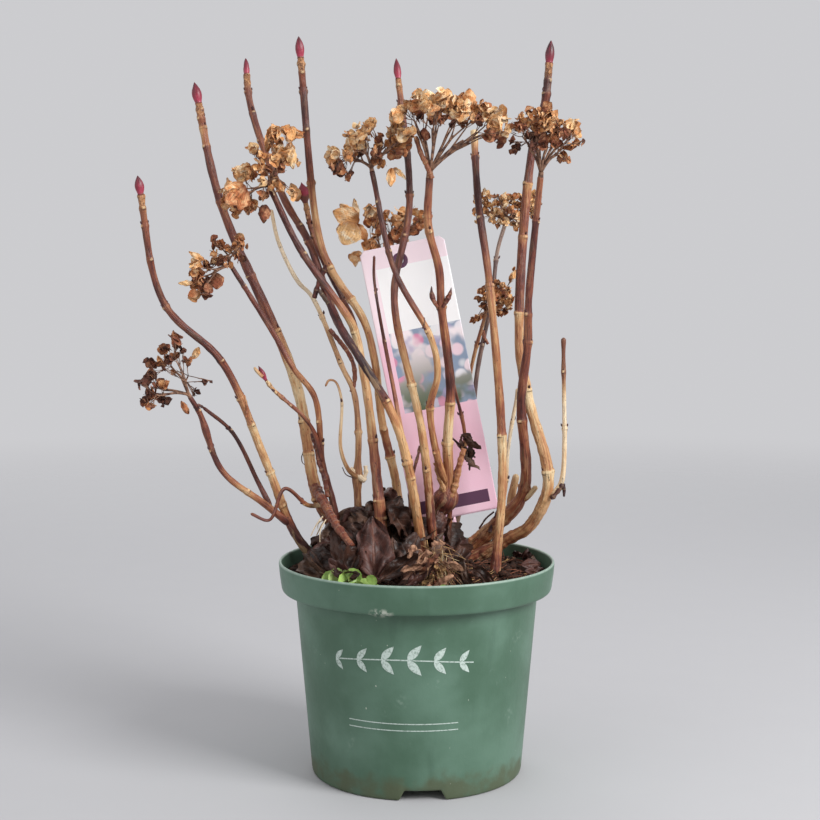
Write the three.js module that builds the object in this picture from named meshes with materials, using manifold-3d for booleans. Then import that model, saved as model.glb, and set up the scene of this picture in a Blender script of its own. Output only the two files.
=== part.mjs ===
// A mophead hydrangea in its winter rest, standing in a green plastic nursery pot: bare woody canes
// with red tip buds, last summer's dried flower heads, a heap of dead leaves on the potting soil
// and a blank care label. Millimetres, +Z up, origin at the middle of the pot's flat underside.
// The viewer stands on the -Y side.
import * as THREE from "three";
import { mergeVertices } from "three/addons/utils/BufferGeometryUtils.js";
import Module from "manifold-3d";

const wasm = await Module();
wasm.setup();

// Driving sizes
const clearance = 0.3; // air left between neighbouring solids
const pot = {
  height: 178,
  footRadius: 88,
  neckRadius: 101, // just under the rim
  rimRadius: 115,
  rimHeight: 25,
  wall: 2,
  floor: 2.5,
  sides: 40,
};
const channel = { count: 3, turn: 3, width: 37, topWidth: 29, height: 8, inner: 46, drain: 9 };
const soilTop = 166;
const ground = soilTop + clearance; // the height of every flat cut foot
const caneSides = 7;
const twigSides = 5;
const caneStep = 30;
const twigStep = 19;
const bud = { length: 17, swell: 1.3, neck: 0.85 };

// Each cane runs from its foot through its bends to its tip. thick is its diameter at foot and tip.
// A cane with a foot stands on the soil; one with on grows out of another cane.
const canes = {
  cane_left_outer: {
    foot: [-81, 26],
    thick: [8.5, 5],
    bends: [[-102, 22, 193], [-127, 9, 260], [-159, -15, 343], [-203, -34, 392]],
    tip: [-220, -50, 494],
    end: "bud",
  },
  cane_left_low: {
    on: "cane_left_outer",
    thick: [7, 4],
    bends: [[-111, 19, 209], [-128, 8, 223], [-161, -8, 253], [-177, -20, 301]],
    tip: [-184, -25, 315],
    end: "head",
  },
  twig_left_low: {
    on: "cane_left_low",
    thick: [4.5, 2.2],
    bends: [[-123, 12, 220], [-134, 18, 240], [-155, 17, 282]],
    tip: [-178, 8, 304],
  },
  cane_left_inner: {
    foot: [-44, 46],
    thick: [13, 6],
    bends: [[-82, 36, 218], [-103, 34, 324], [-166, 37, 477]],
    tip: [-187, 43, 575],
    end: "bud",
  },
  cane_left_flower: {
    foot: [-61, 20],
    thick: [7, 4],
    bends: [[-71, 16, 225], [-79, 14, 255], [-85, 6, 313], [-102, 1, 337], [-118, -2, 366]],
    tip: [-150, -15, 420],
    end: "head",
  },
  twig_left_bud: {
    on: "cane_left_flower",
    thick: [4.5, 2.5],
    bends: [[-79, 13, 257], [-85, 7, 282], [-94, 0, 297], [-121, -10, 324]],
    tip: [-131, -14, 343],
    end: "bud",
  },
  twig_crooked: {
    on: "cane_left_inner",
    thick: [4.5, 2.5],
    bends: [[-81, 34, 218], [-92, 14, 221], [-110, -2, 237], [-122, -10, 212]],
    tip: [-137, -14, 218],
  },
  cane_centre_dark: {
    foot: [8, 0],
    thick: [9, 5.5],
    bends: [[-10, -23, 272], [-23, -26, 308], [-60, -18, 368], [-66, -4, 378], [-73, 6, 394],
      [-90, 15, 442], [-111, 27, 478], [-141, 52, 558]],
    tip: [-146, 62, 601],
    end: "bud",
  },
  cane_centre_flower: {
    foot: [-25, -10],
    thick: [11, 5],
    bends: [[-42, -6, 324], [-51, -7, 368], [-55, -13, 378], [-95, -19, 436]],
    tip: [-117, -23, 482],
    end: "head",
  },
  cane_centre_pale: {
    foot: [-46, 22],
    thick: [8, 3],
    knots: [[78, 1.6]],
    bends: [[-50, 19, 233], [-49, 16, 284], [-53, 18, 317], [-62, 21, 336], [-88, 27, 396],
      [-100, 28, 409], [-116, 28, 442]],
    tip: [-122, 28, 469],
  },
  cane_centre_tall: {
    foot: [-11, 34],
    thick: [8, 5.5],
    bends: [[-17, 28, 236], [-29, 17, 291], [-35, 5, 344], [-44, 6, 377], [-71, 8, 419], [-81, 6, 447]],
    tip: [-96, 0, 607],
    end: "bud",
  },
  cane_short_bud: {
    on: "cane_centre_flower",
    thick: [5, 4],
    bends: [[-49, -6, 360], [-53, 10, 377], [-59, 18, 389], [-85, 24, 442]],
    tip: [-96, 22, 491],
    end: "bud",
  },
  twig_label_front: {
    on: "cane_centre_dark",
    thick: [4.5, 2.2],
    bends: [[-11, -23, 278], [-17, -10, 310], [-35, 2, 410]],
    tip: [-35, 2, 430],
  },
  cane_label_left: {
    foot: [16, 8],
    thick: [8.5, 5],
    bends: [[4, -6, 287], [-17, -8, 379], [-18, -4, 406], [-6, 8, 472]],
    tip: [-17, 40, 594],
    end: "bud",
  },
  cane_mid_flower: {
    foot: [6, 30],
    thick: [11, 6],
    knots: [[64, 1.9]],
    bends: [[18, 23, 212], [26, 19, 229], [26, 8, 277], [28, 0, 323], [20, -16, 389], [18, -22, 418],
      [9, -31, 454]],
    tip: [10, -38, 491],
    end: "head",
  },
  cane_label_flower: {
    on: "cane_mid_flower",
    thick: [7, 4.2],
    bends: [[26, 18, 237], [19, 7, 256], [11, -10, 305], [17, -19, 333], [12, -25, 362], [-18, -28, 418]],
    tip: [-36, -24, 497],
    end: "head",
  },
  twig_mid_bud: {
    on: "cane_mid_flower",
    thick: [5, 2.5],
    bends: [[27, 18, 237], [35, 25, 251], [41, 27, 275]],
    tip: [31, 12, 324],
  },
  cane_mid_prop: {
    foot: [25, 36],
    thick: [5.5, 4],
    bends: [[28, 30, 204]],
    tip: [29, 21, 233],
    clearOf: "cane_mid_flower",
  },
  cane_right_front: {
    foot: [66, 0],
    thick: [8, 6],
    bends: [[72, 7, 252], [60, -1, 406], [51, 14, 476]],
    tip: [48, 40, 544],
    end: "bud",
  },
  cane_right_tall: {
    foot: [50, 61],
    thick: [12, 6.5],
    bends: [[78, 49, 185], [97, 37, 199], [112, 24, 237], [94, 27, 313], [87, 29, 360], [98, 41, 524]],
    tip: [113, 44, 609],
    end: "bud",
  },
  cane_right_flower: {
    foot: [44, 77],
    thick: [13, 5],
    bends: [[63, 65, 189], [92, 42, 227], [88, 17, 310], [92, 4, 356], [92, -4, 394]],
    tip: [99, -27, 492],
    end: "head",
  },
  cane_right_stub: {
    on: "cane_right_flower",
    thick: [8.5, 6],
    bends: [[82, 53, 209], [83, 55, 222]],
    tip: [87, 54, 242],
  },
  cane_right_spur: {
    on: "cane_right_flower",
    thick: [5.5, 4.2],
    bends: [[92, 44, 220], [98, 38, 227]],
    tip: [103, 35, 234],
  },
  cane_right_dry: {
    foot: [67, 75],
    thick: [5, 3],
    bends: [[78, 68, 226], [80, 62, 262]],
    tip: [88, 52, 317],
  },
  twig_right_edge: {
    on: "cane_right_tall",
    thick: [4.5, 2.2],
    bends: [[111, 26, 226], [118, 22, 231], [123, 21, 240]],
    tip: [123, 16, 362],
  },
  cane_back_flower: {
    foot: [32, 94],
    thick: [6, 3.5],
    bends: [[48, 86, 268], [54, 80, 331], [66, 76, 393], [71, 77, 436]],
    tip: [77, 78, 457],
    end: "head",
  },
  cane_back_low: {
    foot: [22, 99],
    thick: [5.5, 3],
    bends: [[41, 88, 277], [49, 76, 336]],
    tip: [60, 60, 381],
    end: "head",
  },
  cane_behind_label: {
    foot: [-4, 96],
    thick: [6, 3.5],
    bends: [[-7, 94, 268]],
    tip: [-28, 90, 414],
    end: "head",
  },
  twig_hooked: {
    on: "cane_centre_pale",
    thick: [4.5, 1.8],
    bends: [[-49, 18, 243], [-57, 6, 252], [-63, -3, 271], [-62, -8, 312], [-67, -10, 327],
      [-72, -11, 328]],
    tip: [-75, -12, 323],
  },
};

// Each dried head fills a flattened dome: heart is its middle and half its half sizes. It rises
// from the tip of its cane through a few main rays, each carrying stalks with one floret each.
const heads = {
  head_left_low: {
    cane: "cane_left_low",
    heart: [-202, -34, 337],
    half: [27, 22, 30],
    rays: 5,
    florets: 15,
    floret: 14,
    seed: 3,
  },
  head_left: {
    cane: "cane_left_flower",
    heart: [-168, -24, 423],
    half: [29, 22, 24],
    rays: 5,
    florets: 17,
    floret: 14,
    seed: 7,
  },
  head_centre_left: {
    cane: "cane_centre_flower",
    heart: [-125, -30, 499],
    half: [34, 27, 32],
    rays: 5,
    florets: 17,
    floret: 20,
    seed: 11,
  },
  head_centre: {
    cane: "cane_label_flower",
    heart: [-38, -30, 521],
    half: [34, 24, 22],
    rays: 5,
    florets: 17,
    floret: 15,
    seed: 15,
  },
  head_top: {
    cane: "cane_mid_flower",
    heart: [26, -40, 541],
    half: [47, 36, 20],
    rays: 7,
    florets: 30,
    floret: 17,
    seed: 19,
  },
  head_right: {
    cane: "cane_right_flower",
    heart: [103, -30, 529],
    half: [32, 25, 19],
    rays: 6,
    florets: 22,
    floret: 15,
    seed: 23,
  },
  head_back_right: {
    cane: "cane_back_flower",
    heart: [75, 78, 475],
    half: [31, 25, 13],
    rays: 5,
    florets: 19,
    floret: 12,
    seed: 27,
  },
  head_back_low: {
    cane: "cane_back_low",
    heart: [69, 56, 396],
    half: [17, 17, 16],
    rays: 4,
    florets: 12,
    floret: 11,
    seed: 31,
  },
  head_behind_label: {
    cane: "cane_behind_label",
    heart: [-32, 90, 444],
    half: [38, 27, 25],
    rays: 5,
    florets: 17,
    floret: 17,
    seed: 35,
  },
};
const headShape = {
  reach: 0.62, // how far the main rays go from the cane's tip towards their florets
  dropped: -0.25, // how far round below the dome the lowest florets hang
  raySides: 4,
  rayThick: 2.8,
  stalkThick: 1.2,
  petalThick: 1,
};

// The heap of dead leaves: three soft bumps over the soil, with whole leaves standing out of it.
const litter = {
  middle: [-34, 14],
  reach: [68, 62],
  bumps: [
    { at: [-24, 24], height: 52, spread: 20 },
    { at: [-66, 12], height: 30, spread: 22 },
    { at: [8, 8], height: 10, spread: 22 },
  ],
  edge: 3,
  rings: 4,
  sectors: 16,
  leaves: 22,
  leafLength: 46,
  leafWidth: 27,
  leafThick: 1.6,
};
const label = {
  width: 74,
  height: 240,
  thick: 1,
  corner: 4,
  hole: 3,
  tongueWidth: 22,
  tongueShift: -12,
  tongue: 60,
  reach: 41, // from the soil up to the card's lower edge
  lean: 2.5, // degrees back from the viewer
  turn: 11.5, // degrees over to the left
  foot: [43, 42],
};

// Colours from the real thing
const finish = (color, roughness) => new THREE.MeshStandardMaterial({ color, roughness, metalness: 0 });
const finishes = {
  pot: finish(0x4f7a66, 0.55),
  soil: finish(0x2e211b, 0.95),
  litter: finish(0x3f2a24, 0.8),
  label: finish(0xf3b6cf, 0.4),
  darkCane: finish(0x6e4038, 0.5),
  paleCane: finish(0xb58a55, 0.6),
  head: finish(0xa87a45, 0.85),
};
const paleCanes = ["cane_centre_pale", "cane_right_dry", "twig_right_edge", "twig_hooked"];

const group = new THREE.Group();
group.name = "potted_hydrangea";

// A repeatable stream of numbers from 0 to 1.
function seeded(seed) {
  let state = seed * 2654435761;
  return () => {
    state = (state + 0x6d2b79f5) | 0;
    let t = Math.imul(state ^ (state >>> 15), 1 | state);
    t = (t + Math.imul(t ^ (t >>> 7), 61 | t)) ^ t;
    return ((t ^ (t >>> 14)) >>> 0) / 4294967296;
  };
}

const mix = (a, b, t) => a + (b - a) * t;
const vector = (point) => new THREE.Vector3(...point);
const radians = THREE.MathUtils.degToRad;

function solidOf(geometry) {
  geometry.deleteAttribute("normal");
  geometry.deleteAttribute("uv");
  const merged = mergeVertices(geometry, 1e-3);
  return new wasm.Manifold(
    new wasm.Mesh({
      numProp: 3,
      vertProperties: new Float32Array(merged.attributes.position.array),
      triVerts: new Uint32Array(merged.index.array),
    }),
  );
}

function solidFrom(points, faces) {
  const geometry = new THREE.BufferGeometry();
  geometry.setAttribute("position", new THREE.Float32BufferAttribute(points.flat(), 3));
  geometry.setIndex(faces.flat());
  return solidOf(geometry);
}

function geometryOf(solid) {
  const mesh = solid.getMesh();
  const geometry = new THREE.BufferGeometry();
  geometry.setAttribute("position", new THREE.BufferAttribute(new Float32Array(mesh.vertProperties), 3));
  geometry.setIndex(new THREE.BufferAttribute(new Uint32Array(mesh.triVerts), 1));
  geometry.computeVertexNormals();
  return geometry;
}

function add(name, solid, material) {
  const mesh = new THREE.Mesh(geometryOf(solid), material);
  mesh.name = name;
  group.add(mesh);
}

const largest = (solid) => solid.decompose().reduce((a, b) => (b.volume() > a.volume() ? b : a));
const joined = (solids) => solids.reduce((a, b) => a.add(b));

// A turned solid from a closed outline of [radius, height] pairs, run from the bottom outwards.
function turned(outline, sides) {
  const profile = outline.map(([r, z]) => new THREE.Vector2(r, z));
  return solidOf(new THREE.LatheGeometry(profile, sides).rotateX(Math.PI / 2));
}

// A tube through rings of corners, closed by a flat foot and either a flat end or a point.
function tube(rings, apex) {
  const sides = rings[0].length;
  const points = apex ? [...rings.flat(), apex] : rings.flat();
  const last = (rings.length - 1) * sides;
  const faces = [];
  for (let k = 0; k < sides; k++) {
    const next = (k + 1) % sides;
    for (let i = 0; i + 1 < rings.length; i++) {
      const a = i * sides;
      const b = a + sides;
      faces.push([a + k, a + next, b + next], [a + k, b + next, b + k]);
    }
    if (apex) faces.push([points.length - 1, last + k, last + next]);
    if (k > 1) faces.push([0, k, k - 1]);
    if (k > 1 && !apex) faces.push([last, last + k - 1, last + k]);
  }
  return solidFrom(points, faces);
}

function ringAround(centre, across, up, radius, sides) {
  return Array.from({ length: sides }, (_, k) => {
    const angle = (2 * Math.PI * k) / sides;
    return centre
      .clone()
      .addScaledVector(across, Math.cos(angle) * radius)
      .addScaledVector(up, Math.sin(angle) * radius)
      .toArray();
  });
}

function route(spec) {
  const start = spec.foot ? [[...spec.foot, ground]] : [];
  const points = [...start, ...spec.bends, spec.tip].map(vector);
  return new THREE.CatmullRomCurve3(points, false, "centripetal");
}

// The radius at a distance along a cane: a flare at a rooted foot, a steady taper, and its knots.
function caneRadius(spec, distance, length) {
  const taper = mix(spec.thick[0], spec.thick[1], Math.pow(distance / length, 0.6)) / 2;
  const flare = spec.foot ? 1 + 0.25 * Math.exp(-distance / 12) : 1;
  const knots = (spec.knots ?? []).map(([at, swell]) => {
    const away = (distance - at) / 9;
    return (swell - 1) * Math.exp(-away * away);
  });
  return taper * flare * (1 + knots.reduce((a, b) => a + b, 0));
}

// One tapering limb, with a pointed bud at its tip where it has one. extra swells it all round.
function limb(spec, extra = 0) {
  const curve = route(spec);
  const length = curve.getLength();
  const isTwig = spec.thick[0] < 5.2;
  const sides = isTwig ? twigSides : caneSides;
  const woody = spec.end === "bud" ? length - bud.length : length;
  const count = Math.ceil(woody / (isTwig ? twigStep : caneStep));
  const station = (at) => ({ at, radius: caneRadius(spec, at, length) });
  const stations = Array.from({ length: count + 1 }, (_, i) => station((woody * i) / count));
  for (const [at] of spec.knots ?? []) stations.push(station(at - 7), station(at), station(at + 7));
  stations.sort((a, b) => a.at - b.at);
  if (spec.end === "bud") {
    const tipRadius = spec.thick[1] / 2;
    stations.push({ at: woody + bud.length * 0.08, radius: tipRadius * bud.neck });
    stations.push({ at: woody + bud.length * 0.38, radius: tipRadius * bud.swell });
    stations.push({ at: woody + bud.length * 0.72, radius: tipRadius * bud.swell * 0.6 });
  }
  const apex = curve.getPointAt(1);
  if (extra) apex.addScaledVector(curve.getTangentAt(1), extra);
  const side = new THREE.Vector3();
  const rings = stations
    .filter((s, i) => i === 0 || s.at - stations[i - 1].at > 1.5)
    .map(({ at, radius }, i) => {
      const u = Math.min(1, at / length);
      const tangent = i === 0 && spec.foot ? new THREE.Vector3(0, 0, 1) : curve.getTangentAt(u);
      if (i === 0) side.set(1, 0, 0);
      side.addScaledVector(tangent, -side.dot(tangent)).normalize();
      const up = new THREE.Vector3().crossVectors(tangent, side);
      return ringAround(curve.getPointAt(u), side, up, radius + extra, sides);
    });
  return tube(rings, spec.end === "bud" ? apex.toArray() : null);
}

// A straight twig from a to b that tapers, with three or more sides.
function twig(a, b, thickA, thickB, sides) {
  const along = new THREE.Vector3().subVectors(b, a).normalize();
  const side = new THREE.Vector3(0.3, 1, 0.2).cross(along).normalize();
  const up = new THREE.Vector3().crossVectors(along, side);
  const ringA = ringAround(a, side, up, thickA / 2, sides);
  const ringB = ringAround(b, side, up, thickB / 2, sides);
  return tube([ringA, ringB], null);
}

// A leaf of eight faces: four outline corners with a ridge above and a keel below.
function blade(root, along, outward, length, width, thick) {
  const across = new THREE.Vector3().crossVectors(outward, along).normalize();
  const face = new THREE.Vector3().crossVectors(along, across).normalize();
  const at = (l, w, t) =>
    root.clone().addScaledVector(along, l).addScaledVector(across, w).addScaledVector(face, t).toArray();
  const points = [
    at(0, 0, 0),
    at(length * 0.45, width / 2, 0),
    at(length, 0, 0),
    at(length * 0.45, -width / 2, 0),
    at(length * 0.45, 0, thick * 0.8),
    at(length * 0.45, 0, -thick * 0.2),
  ];
  const faces = [[0, 4, 1], [1, 4, 2], [2, 4, 3], [3, 4, 0], [0, 1, 5], [1, 2, 5], [2, 3, 5], [3, 0, 5]];
  const solid = solidFrom(points, faces);
  return solid.volume() > 0 ? solid : solidFrom(points, faces.map(([a, b, c]) => [a, c, b]));
}

// The nursery pot: a turned wall, rim collar and floor, with drain channels cut across the foot.
function potOutline() {
  const neckHeight = pot.height - pot.rimHeight;
  const lip = pot.rimRadius - 0.8;
  return [
    [0, 0],
    [pot.footRadius - 2, 0],
    [pot.footRadius, 2],
    [pot.neckRadius, neckHeight],
    [pot.rimRadius - 2.6, neckHeight + 1.5],
    [pot.rimRadius, pot.height - 2],
    [lip, pot.height],
    [pot.rimRadius - pot.wall, pot.height - 1],
    [pot.rimRadius - 2.4 - pot.wall, neckHeight + 1.5 + pot.wall],
    [pot.neckRadius - pot.wall, neckHeight + pot.wall],
    [pot.footRadius - pot.wall, pot.floor + 2],
    [pot.footRadius - pot.wall - 2, pot.floor],
    [0, pot.floor],
  ];
}

// A radial bar with sloping sides, laid from inner to outer along the way a channel runs.
function channelBar(inner, outer, width, topWidth, height, angle) {
  const shape = new THREE.Shape([
    new THREE.Vector2(-width / 2, -1),
    new THREE.Vector2(width / 2, -1),
    new THREE.Vector2(topWidth / 2, height),
    new THREE.Vector2(-topWidth / 2, height),
  ]);
  const bar = new THREE.ExtrudeGeometry(shape, { depth: outer - inner, bevelEnabled: false });
  bar.rotateX(Math.PI / 2).translate(0, -inner, 0).rotateZ(angle);
  return solidOf(bar);
}

const channelAngles = Array.from(
  { length: channel.count },
  (_, i) => radians(channel.turn) + (2 * Math.PI * i) / channel.count,
);

function channelRoofs(extra) {
  const { width, topWidth, height, inner } = channel;
  const room = 2 * (pot.wall + extra);
  return joined(
    channelAngles.map((angle) =>
      channelBar(inner - pot.wall - extra, pot.footRadius + 6, width + room, topWidth + room,
        height + pot.wall + extra, angle),
    ),
  );
}

function makePot() {
  const body = turned(potOutline(), pot.sides);
  const inside = turned([[0, 0.5], [pot.footRadius - 1, 0.5], [pot.footRadius, 14], [0, 14]], pot.sides);
  const cuts = joined(
    channelAngles.map((angle) => {
      const { width, topWidth, height, inner, drain } = channel;
      const groove = channelBar(inner, pot.rimRadius, width, topWidth, height, angle);
      const hole = new THREE.CylinderGeometry(drain / 2, drain / 2, 40, 12).rotateX(Math.PI / 2);
      hole.translate(0, -(inner + 16), 0).rotateZ(angle);
      return groove.add(solidOf(hole));
    }),
  );
  return body.add(channelRoofs(0).intersect(inside)).subtract(cuts);
}

function makeSoil() {
  const neckHeight = pot.height - pot.rimHeight;
  const inset = pot.wall + clearance + 0.1;
  const plug = turned(
    [
      [0, pot.floor + clearance],
      [pot.footRadius - inset - 2, pot.floor + clearance],
      [pot.footRadius - inset, pot.floor + 2 + clearance],
      [pot.neckRadius - inset, neckHeight + pot.wall + clearance],
      [pot.rimRadius - 2.4 - inset, neckHeight + 1.5 + pot.wall + clearance],
      [pot.rimRadius - 1.3 - inset, soilTop],
      [0, soilTop],
    ],
    pot.sides,
  );
  return plug.subtract(channelRoofs(clearance));
}

// A dried head: main rays spread from the cane's tip, and each carries stalks with one floret.
// Florets sit on the dome in even golden-angle steps, and one that would touch a cane is left out.
function makeHead(spec, obstacles) {
  const random = seeded(spec.seed);
  const curve = route(canes[spec.cane]);
  const heart = vector(spec.heart);
  const base = curve.getPointAt(1).addScaledVector(curve.getTangentAt(1), clearance);
  const axis = heart.clone().sub(base).normalize();
  const side = new THREE.Vector3(0, 1, 0).cross(axis).normalize();
  const up = new THREE.Vector3().crossVectors(axis, side);
  const spots = [];
  for (let i = 0; i < spec.florets; i++) {
    const cosine = mix(1, headShape.dropped, (i + 0.5) / spec.florets);
    const angle = i * Math.PI * (3 - Math.sqrt(5)) + random() * 0.5;
    const sine = Math.sqrt(1 - cosine * cosine);
    const direction = axis
      .clone()
      .multiplyScalar(cosine)
      .addScaledVector(side, sine * Math.cos(angle))
      .addScaledVector(up, sine * Math.sin(angle));
    const reach = mix(0.82, 1, random());
    const at = heart.clone().add(direction.clone().multiply(vector(spec.half)).multiplyScalar(reach));
    spots.push({ at, direction, turn: Math.atan2(direction.dot(up), direction.dot(side)) });
  }
  spots.sort((a, b) => a.turn - b.turn);
  const thick = canes[spec.cane].thick[1];
  const tangent = curve.getTangentAt(1);
  const knuckle = base.clone().addScaledVector(tangent, thick * 1.2);
  const parts = [twig(base, knuckle.clone().addScaledVector(tangent, 1), thick, thick * 0.8, 6)];
  for (let r = 0; r < spec.rays; r++) {
    const from = Math.floor((r * spots.length) / spec.rays);
    const mine = spots.slice(from, Math.floor(((r + 1) * spots.length) / spec.rays));
    const middle = mine.reduce((sum, s) => sum.add(s.at), new THREE.Vector3()).divideScalar(mine.length);
    const end = knuckle.clone().lerp(middle, headShape.reach);
    const way = end.clone().sub(knuckle).normalize();
    const start = knuckle.clone().addScaledVector(way, -1.2);
    parts.push(twig(start, end, headShape.rayThick, headShape.rayThick * 0.7, headShape.raySides));
    mine.forEach((spot, i) => {
      const fork = start.clone().lerp(end, mix(0.96, 0.55, i / mine.length));
      const whole = makeFloret(fork, spot, spec.floret * mix(0.85, 1.2, random()), random);
      if (whole.intersect(obstacles).isEmpty()) parts.push(whole);
    });
  }
  return largest(joined(parts).subtract(obstacles));
}

// One dried floret: a thin stalk from the fork that flares into a shallow three-cornered cup.
function makeFloret(fork, spot, size, random) {
  const way = spot.at.clone().sub(fork).normalize();
  const face = spot.direction.clone().lerp(way, mix(0.1, 0.6, random())).normalize();
  const across = new THREE.Vector3(0.2, 0.9, 0.4).cross(face).normalize();
  across.applyAxisAngle(face, random() * Math.PI);
  const up = new THREE.Vector3().crossVectors(face, across);
  const side = across.clone().addScaledVector(way, -across.dot(way)).normalize();
  const top = new THREE.Vector3().crossVectors(way, side);
  const { stalkThick, petalThick } = headShape;
  const neck = spot.at.clone().addScaledVector(face, -petalThick);
  const rim = spot.at.clone().addScaledVector(face, petalThick * mix(-0.5, 1.5, random()));
  const rings = [
    ringAround(fork, side, top, stalkThick * 0.35, 3),
    ringAround(neck, across, up, stalkThick * 0.5, 3),
    ringAround(rim, across, up, size / 2, 3),
  ];
  return tube(rings, spot.at.clone().addScaledVector(face, petalThick).toArray());
}

function heapHeight(x, y) {
  const bumps = litter.bumps.map(({ at, height, spread }) => {
    const away = (x - at[0]) ** 2 + (y - at[1]) ** 2;
    return height * Math.exp(-away / (2 * spread * spread));
  });
  return litter.edge + bumps.reduce((a, b) => a + b, 0);
}

// The heap's core: a closed height field over an oval, flat underneath.
function makeHeapCore() {
  const { middle, reach, rings, sectors } = litter;
  const top = [[...middle, ground + heapHeight(...middle)]];
  for (let i = 1; i <= rings; i++)
    for (let k = 0; k < sectors; k++) {
      const angle = (2 * Math.PI * (k + (i % 2) / 2)) / sectors;
      const share = i / rings;
      const x = middle[0] + Math.cos(angle) * reach[0] * share;
      const y = middle[1] + Math.sin(angle) * reach[1] * share;
      top.push([x, y, ground + (i === rings ? 1.2 : heapHeight(x, y))]);
    }
  const under = top.length;
  const edge = under - sectors;
  const points = [...top, ...top.slice(edge).map(([x, y]) => [x, y, ground]), [...middle, ground]];
  const faces = [];
  const at = (i, k) => 1 + (i - 1) * sectors + ((k + sectors) % sectors);
  for (let k = 0; k < sectors; k++) {
    faces.push([0, at(1, k), at(1, k + 1)]);
    for (let i = 1; i < rings; i++) {
      const lead = i % 2 ? 0 : 1; // the outer ring is half a sector round from the inner one
      faces.push([at(i, k), at(i + 1, k + lead), at(i, k + 1)]);
      faces.push([at(i, k), at(i + 1, k + lead - 1), at(i + 1, k + lead)]);
    }
    const next = (k + 1) % sectors;
    faces.push([edge + k, under + k, edge + next], [edge + next, under + k, under + next]);
    faces.push([under + k, under + sectors, under + next]);
  }
  return solidFrom(points, faces);
}

function makeLitter(obstacles) {
  const random = seeded(41);
  const parts = [makeHeapCore()];
  for (let i = 0; i < litter.leaves; i++) {
    const share = Math.sqrt((i + 0.5) / litter.leaves);
    const angle = i * Math.PI * (3 - Math.sqrt(5));
    const outward = new THREE.Vector3(Math.cos(angle), Math.sin(angle), 0);
    const x = litter.middle[0] + outward.x * litter.reach[0] * share * 0.72;
    const y = litter.middle[1] + outward.y * litter.reach[1] * share * 0.72;
    const along = outward.clone().applyAxisAngle(new THREE.Vector3(0, 0, 1), mix(-0.9, 0.9, random()));
    along.z = mix(-0.55, 0.35, random());
    along.normalize();
    const root = new THREE.Vector3(x, y, ground + heapHeight(x, y) + mix(-2, 4, random()));
    root.addScaledVector(along, -litter.leafLength * 0.45);
    const face = new THREE.Vector3(mix(-0.6, 0.6, random()), mix(-0.6, 0.6, random()), 1).normalize();
    const size = mix(0.8, 1.15, random());
    const [length, width] = [litter.leafLength * size, litter.leafWidth * size];
    parts.push(blade(root, along, face, length, width, litter.leafThick * 2));
  }
  const room = turned([[0, ground], [107.5, ground], [107.5, ground + 90], [0, ground + 90]], 32);
  return largest(joined(parts).intersect(room).subtract(obstacles));
}

// The blank care label: a thin card with a round hole, on a tongue pushed down to the soil.
// extra widens and thickens it, for cutting its neighbours clear.
function makeLabel(extra = 0) {
  const { width, height, corner, tongueWidth, tongueShift, tongue, reach, hole, thick } = label;
  const half = width / 2 + extra;
  const shape = new THREE.Shape();
  shape.moveTo(tongueShift - tongueWidth / 2 - extra, -tongue);
  shape.lineTo(tongueShift + tongueWidth / 2 + extra, -tongue);
  shape.lineTo(tongueShift + tongueWidth / 2 + extra, -extra);
  shape.lineTo(half, -extra);
  shape.lineTo(half, height - corner);
  shape.lineTo(half - corner, height + extra);
  shape.lineTo(corner - half, height + extra);
  shape.lineTo(-half, height - corner);
  shape.lineTo(-half, -extra);
  shape.lineTo(tongueShift - tongueWidth / 2 - extra, -extra);
  const ring = new THREE.Path().absarc(-4, height - 14, hole, 0, 2 * Math.PI, true);
  if (!extra) shape.holes.push(ring);
  const depth = thick + 2 * extra;
  const card = new THREE.ExtrudeGeometry(shape, { depth, bevelEnabled: false, curveSegments: 6 });
  card.rotateX(Math.PI / 2).translate(0, thick / 2 + extra, reach);
  card.rotateX(radians(-label.lean)).rotateY(radians(-label.turn));
  card.translate(label.foot[0], label.foot[1], ground);
  const below = new THREE.BoxGeometry(400, 400, 100).translate(0, 0, ground - 50);
  return solidOf(card).subtract(solidOf(below));
}

// Assembly
const limbs = {};
const swollen = {};
for (const [name, spec] of Object.entries(canes)) {
  const parent = spec.on ?? spec.clearOf;
  limbs[name] = parent ? largest(limb(spec).subtract(swollen[parent])) : limb(spec);
  swollen[name] = limb(spec, clearance + 0.1);
}
const allCanes = joined(Object.values(swollen));

add("pot", makePot(), finishes.pot);
add("soil", makeSoil(), finishes.soil);
add("leaf_litter", makeLitter(allCanes.add(makeLabel(0.5))), finishes.litter);
add("care_label", makeLabel(), finishes.label);
for (const [name, solid] of Object.entries(limbs))
  add(name, solid, paleCanes.includes(name) ? finishes.paleCane : finishes.darkCane);
for (const [name, spec] of Object.entries(heads)) add(name, makeHead(spec, allCanes), finishes.head);

export default group;
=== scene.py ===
import math

import bpy
import numpy as np
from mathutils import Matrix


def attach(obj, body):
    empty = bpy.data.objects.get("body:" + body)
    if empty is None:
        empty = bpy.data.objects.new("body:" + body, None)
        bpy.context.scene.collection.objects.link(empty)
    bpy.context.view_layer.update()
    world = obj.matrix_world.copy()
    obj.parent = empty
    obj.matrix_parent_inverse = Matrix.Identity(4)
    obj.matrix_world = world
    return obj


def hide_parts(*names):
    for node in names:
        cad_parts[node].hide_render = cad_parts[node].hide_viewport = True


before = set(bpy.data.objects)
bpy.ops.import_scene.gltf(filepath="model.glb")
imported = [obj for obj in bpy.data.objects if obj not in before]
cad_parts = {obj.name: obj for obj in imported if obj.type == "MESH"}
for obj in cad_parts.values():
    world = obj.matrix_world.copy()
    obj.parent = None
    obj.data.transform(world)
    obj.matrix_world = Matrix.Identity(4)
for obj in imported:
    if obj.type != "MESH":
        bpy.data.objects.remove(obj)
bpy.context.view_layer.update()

turn = 2 * math.pi

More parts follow.
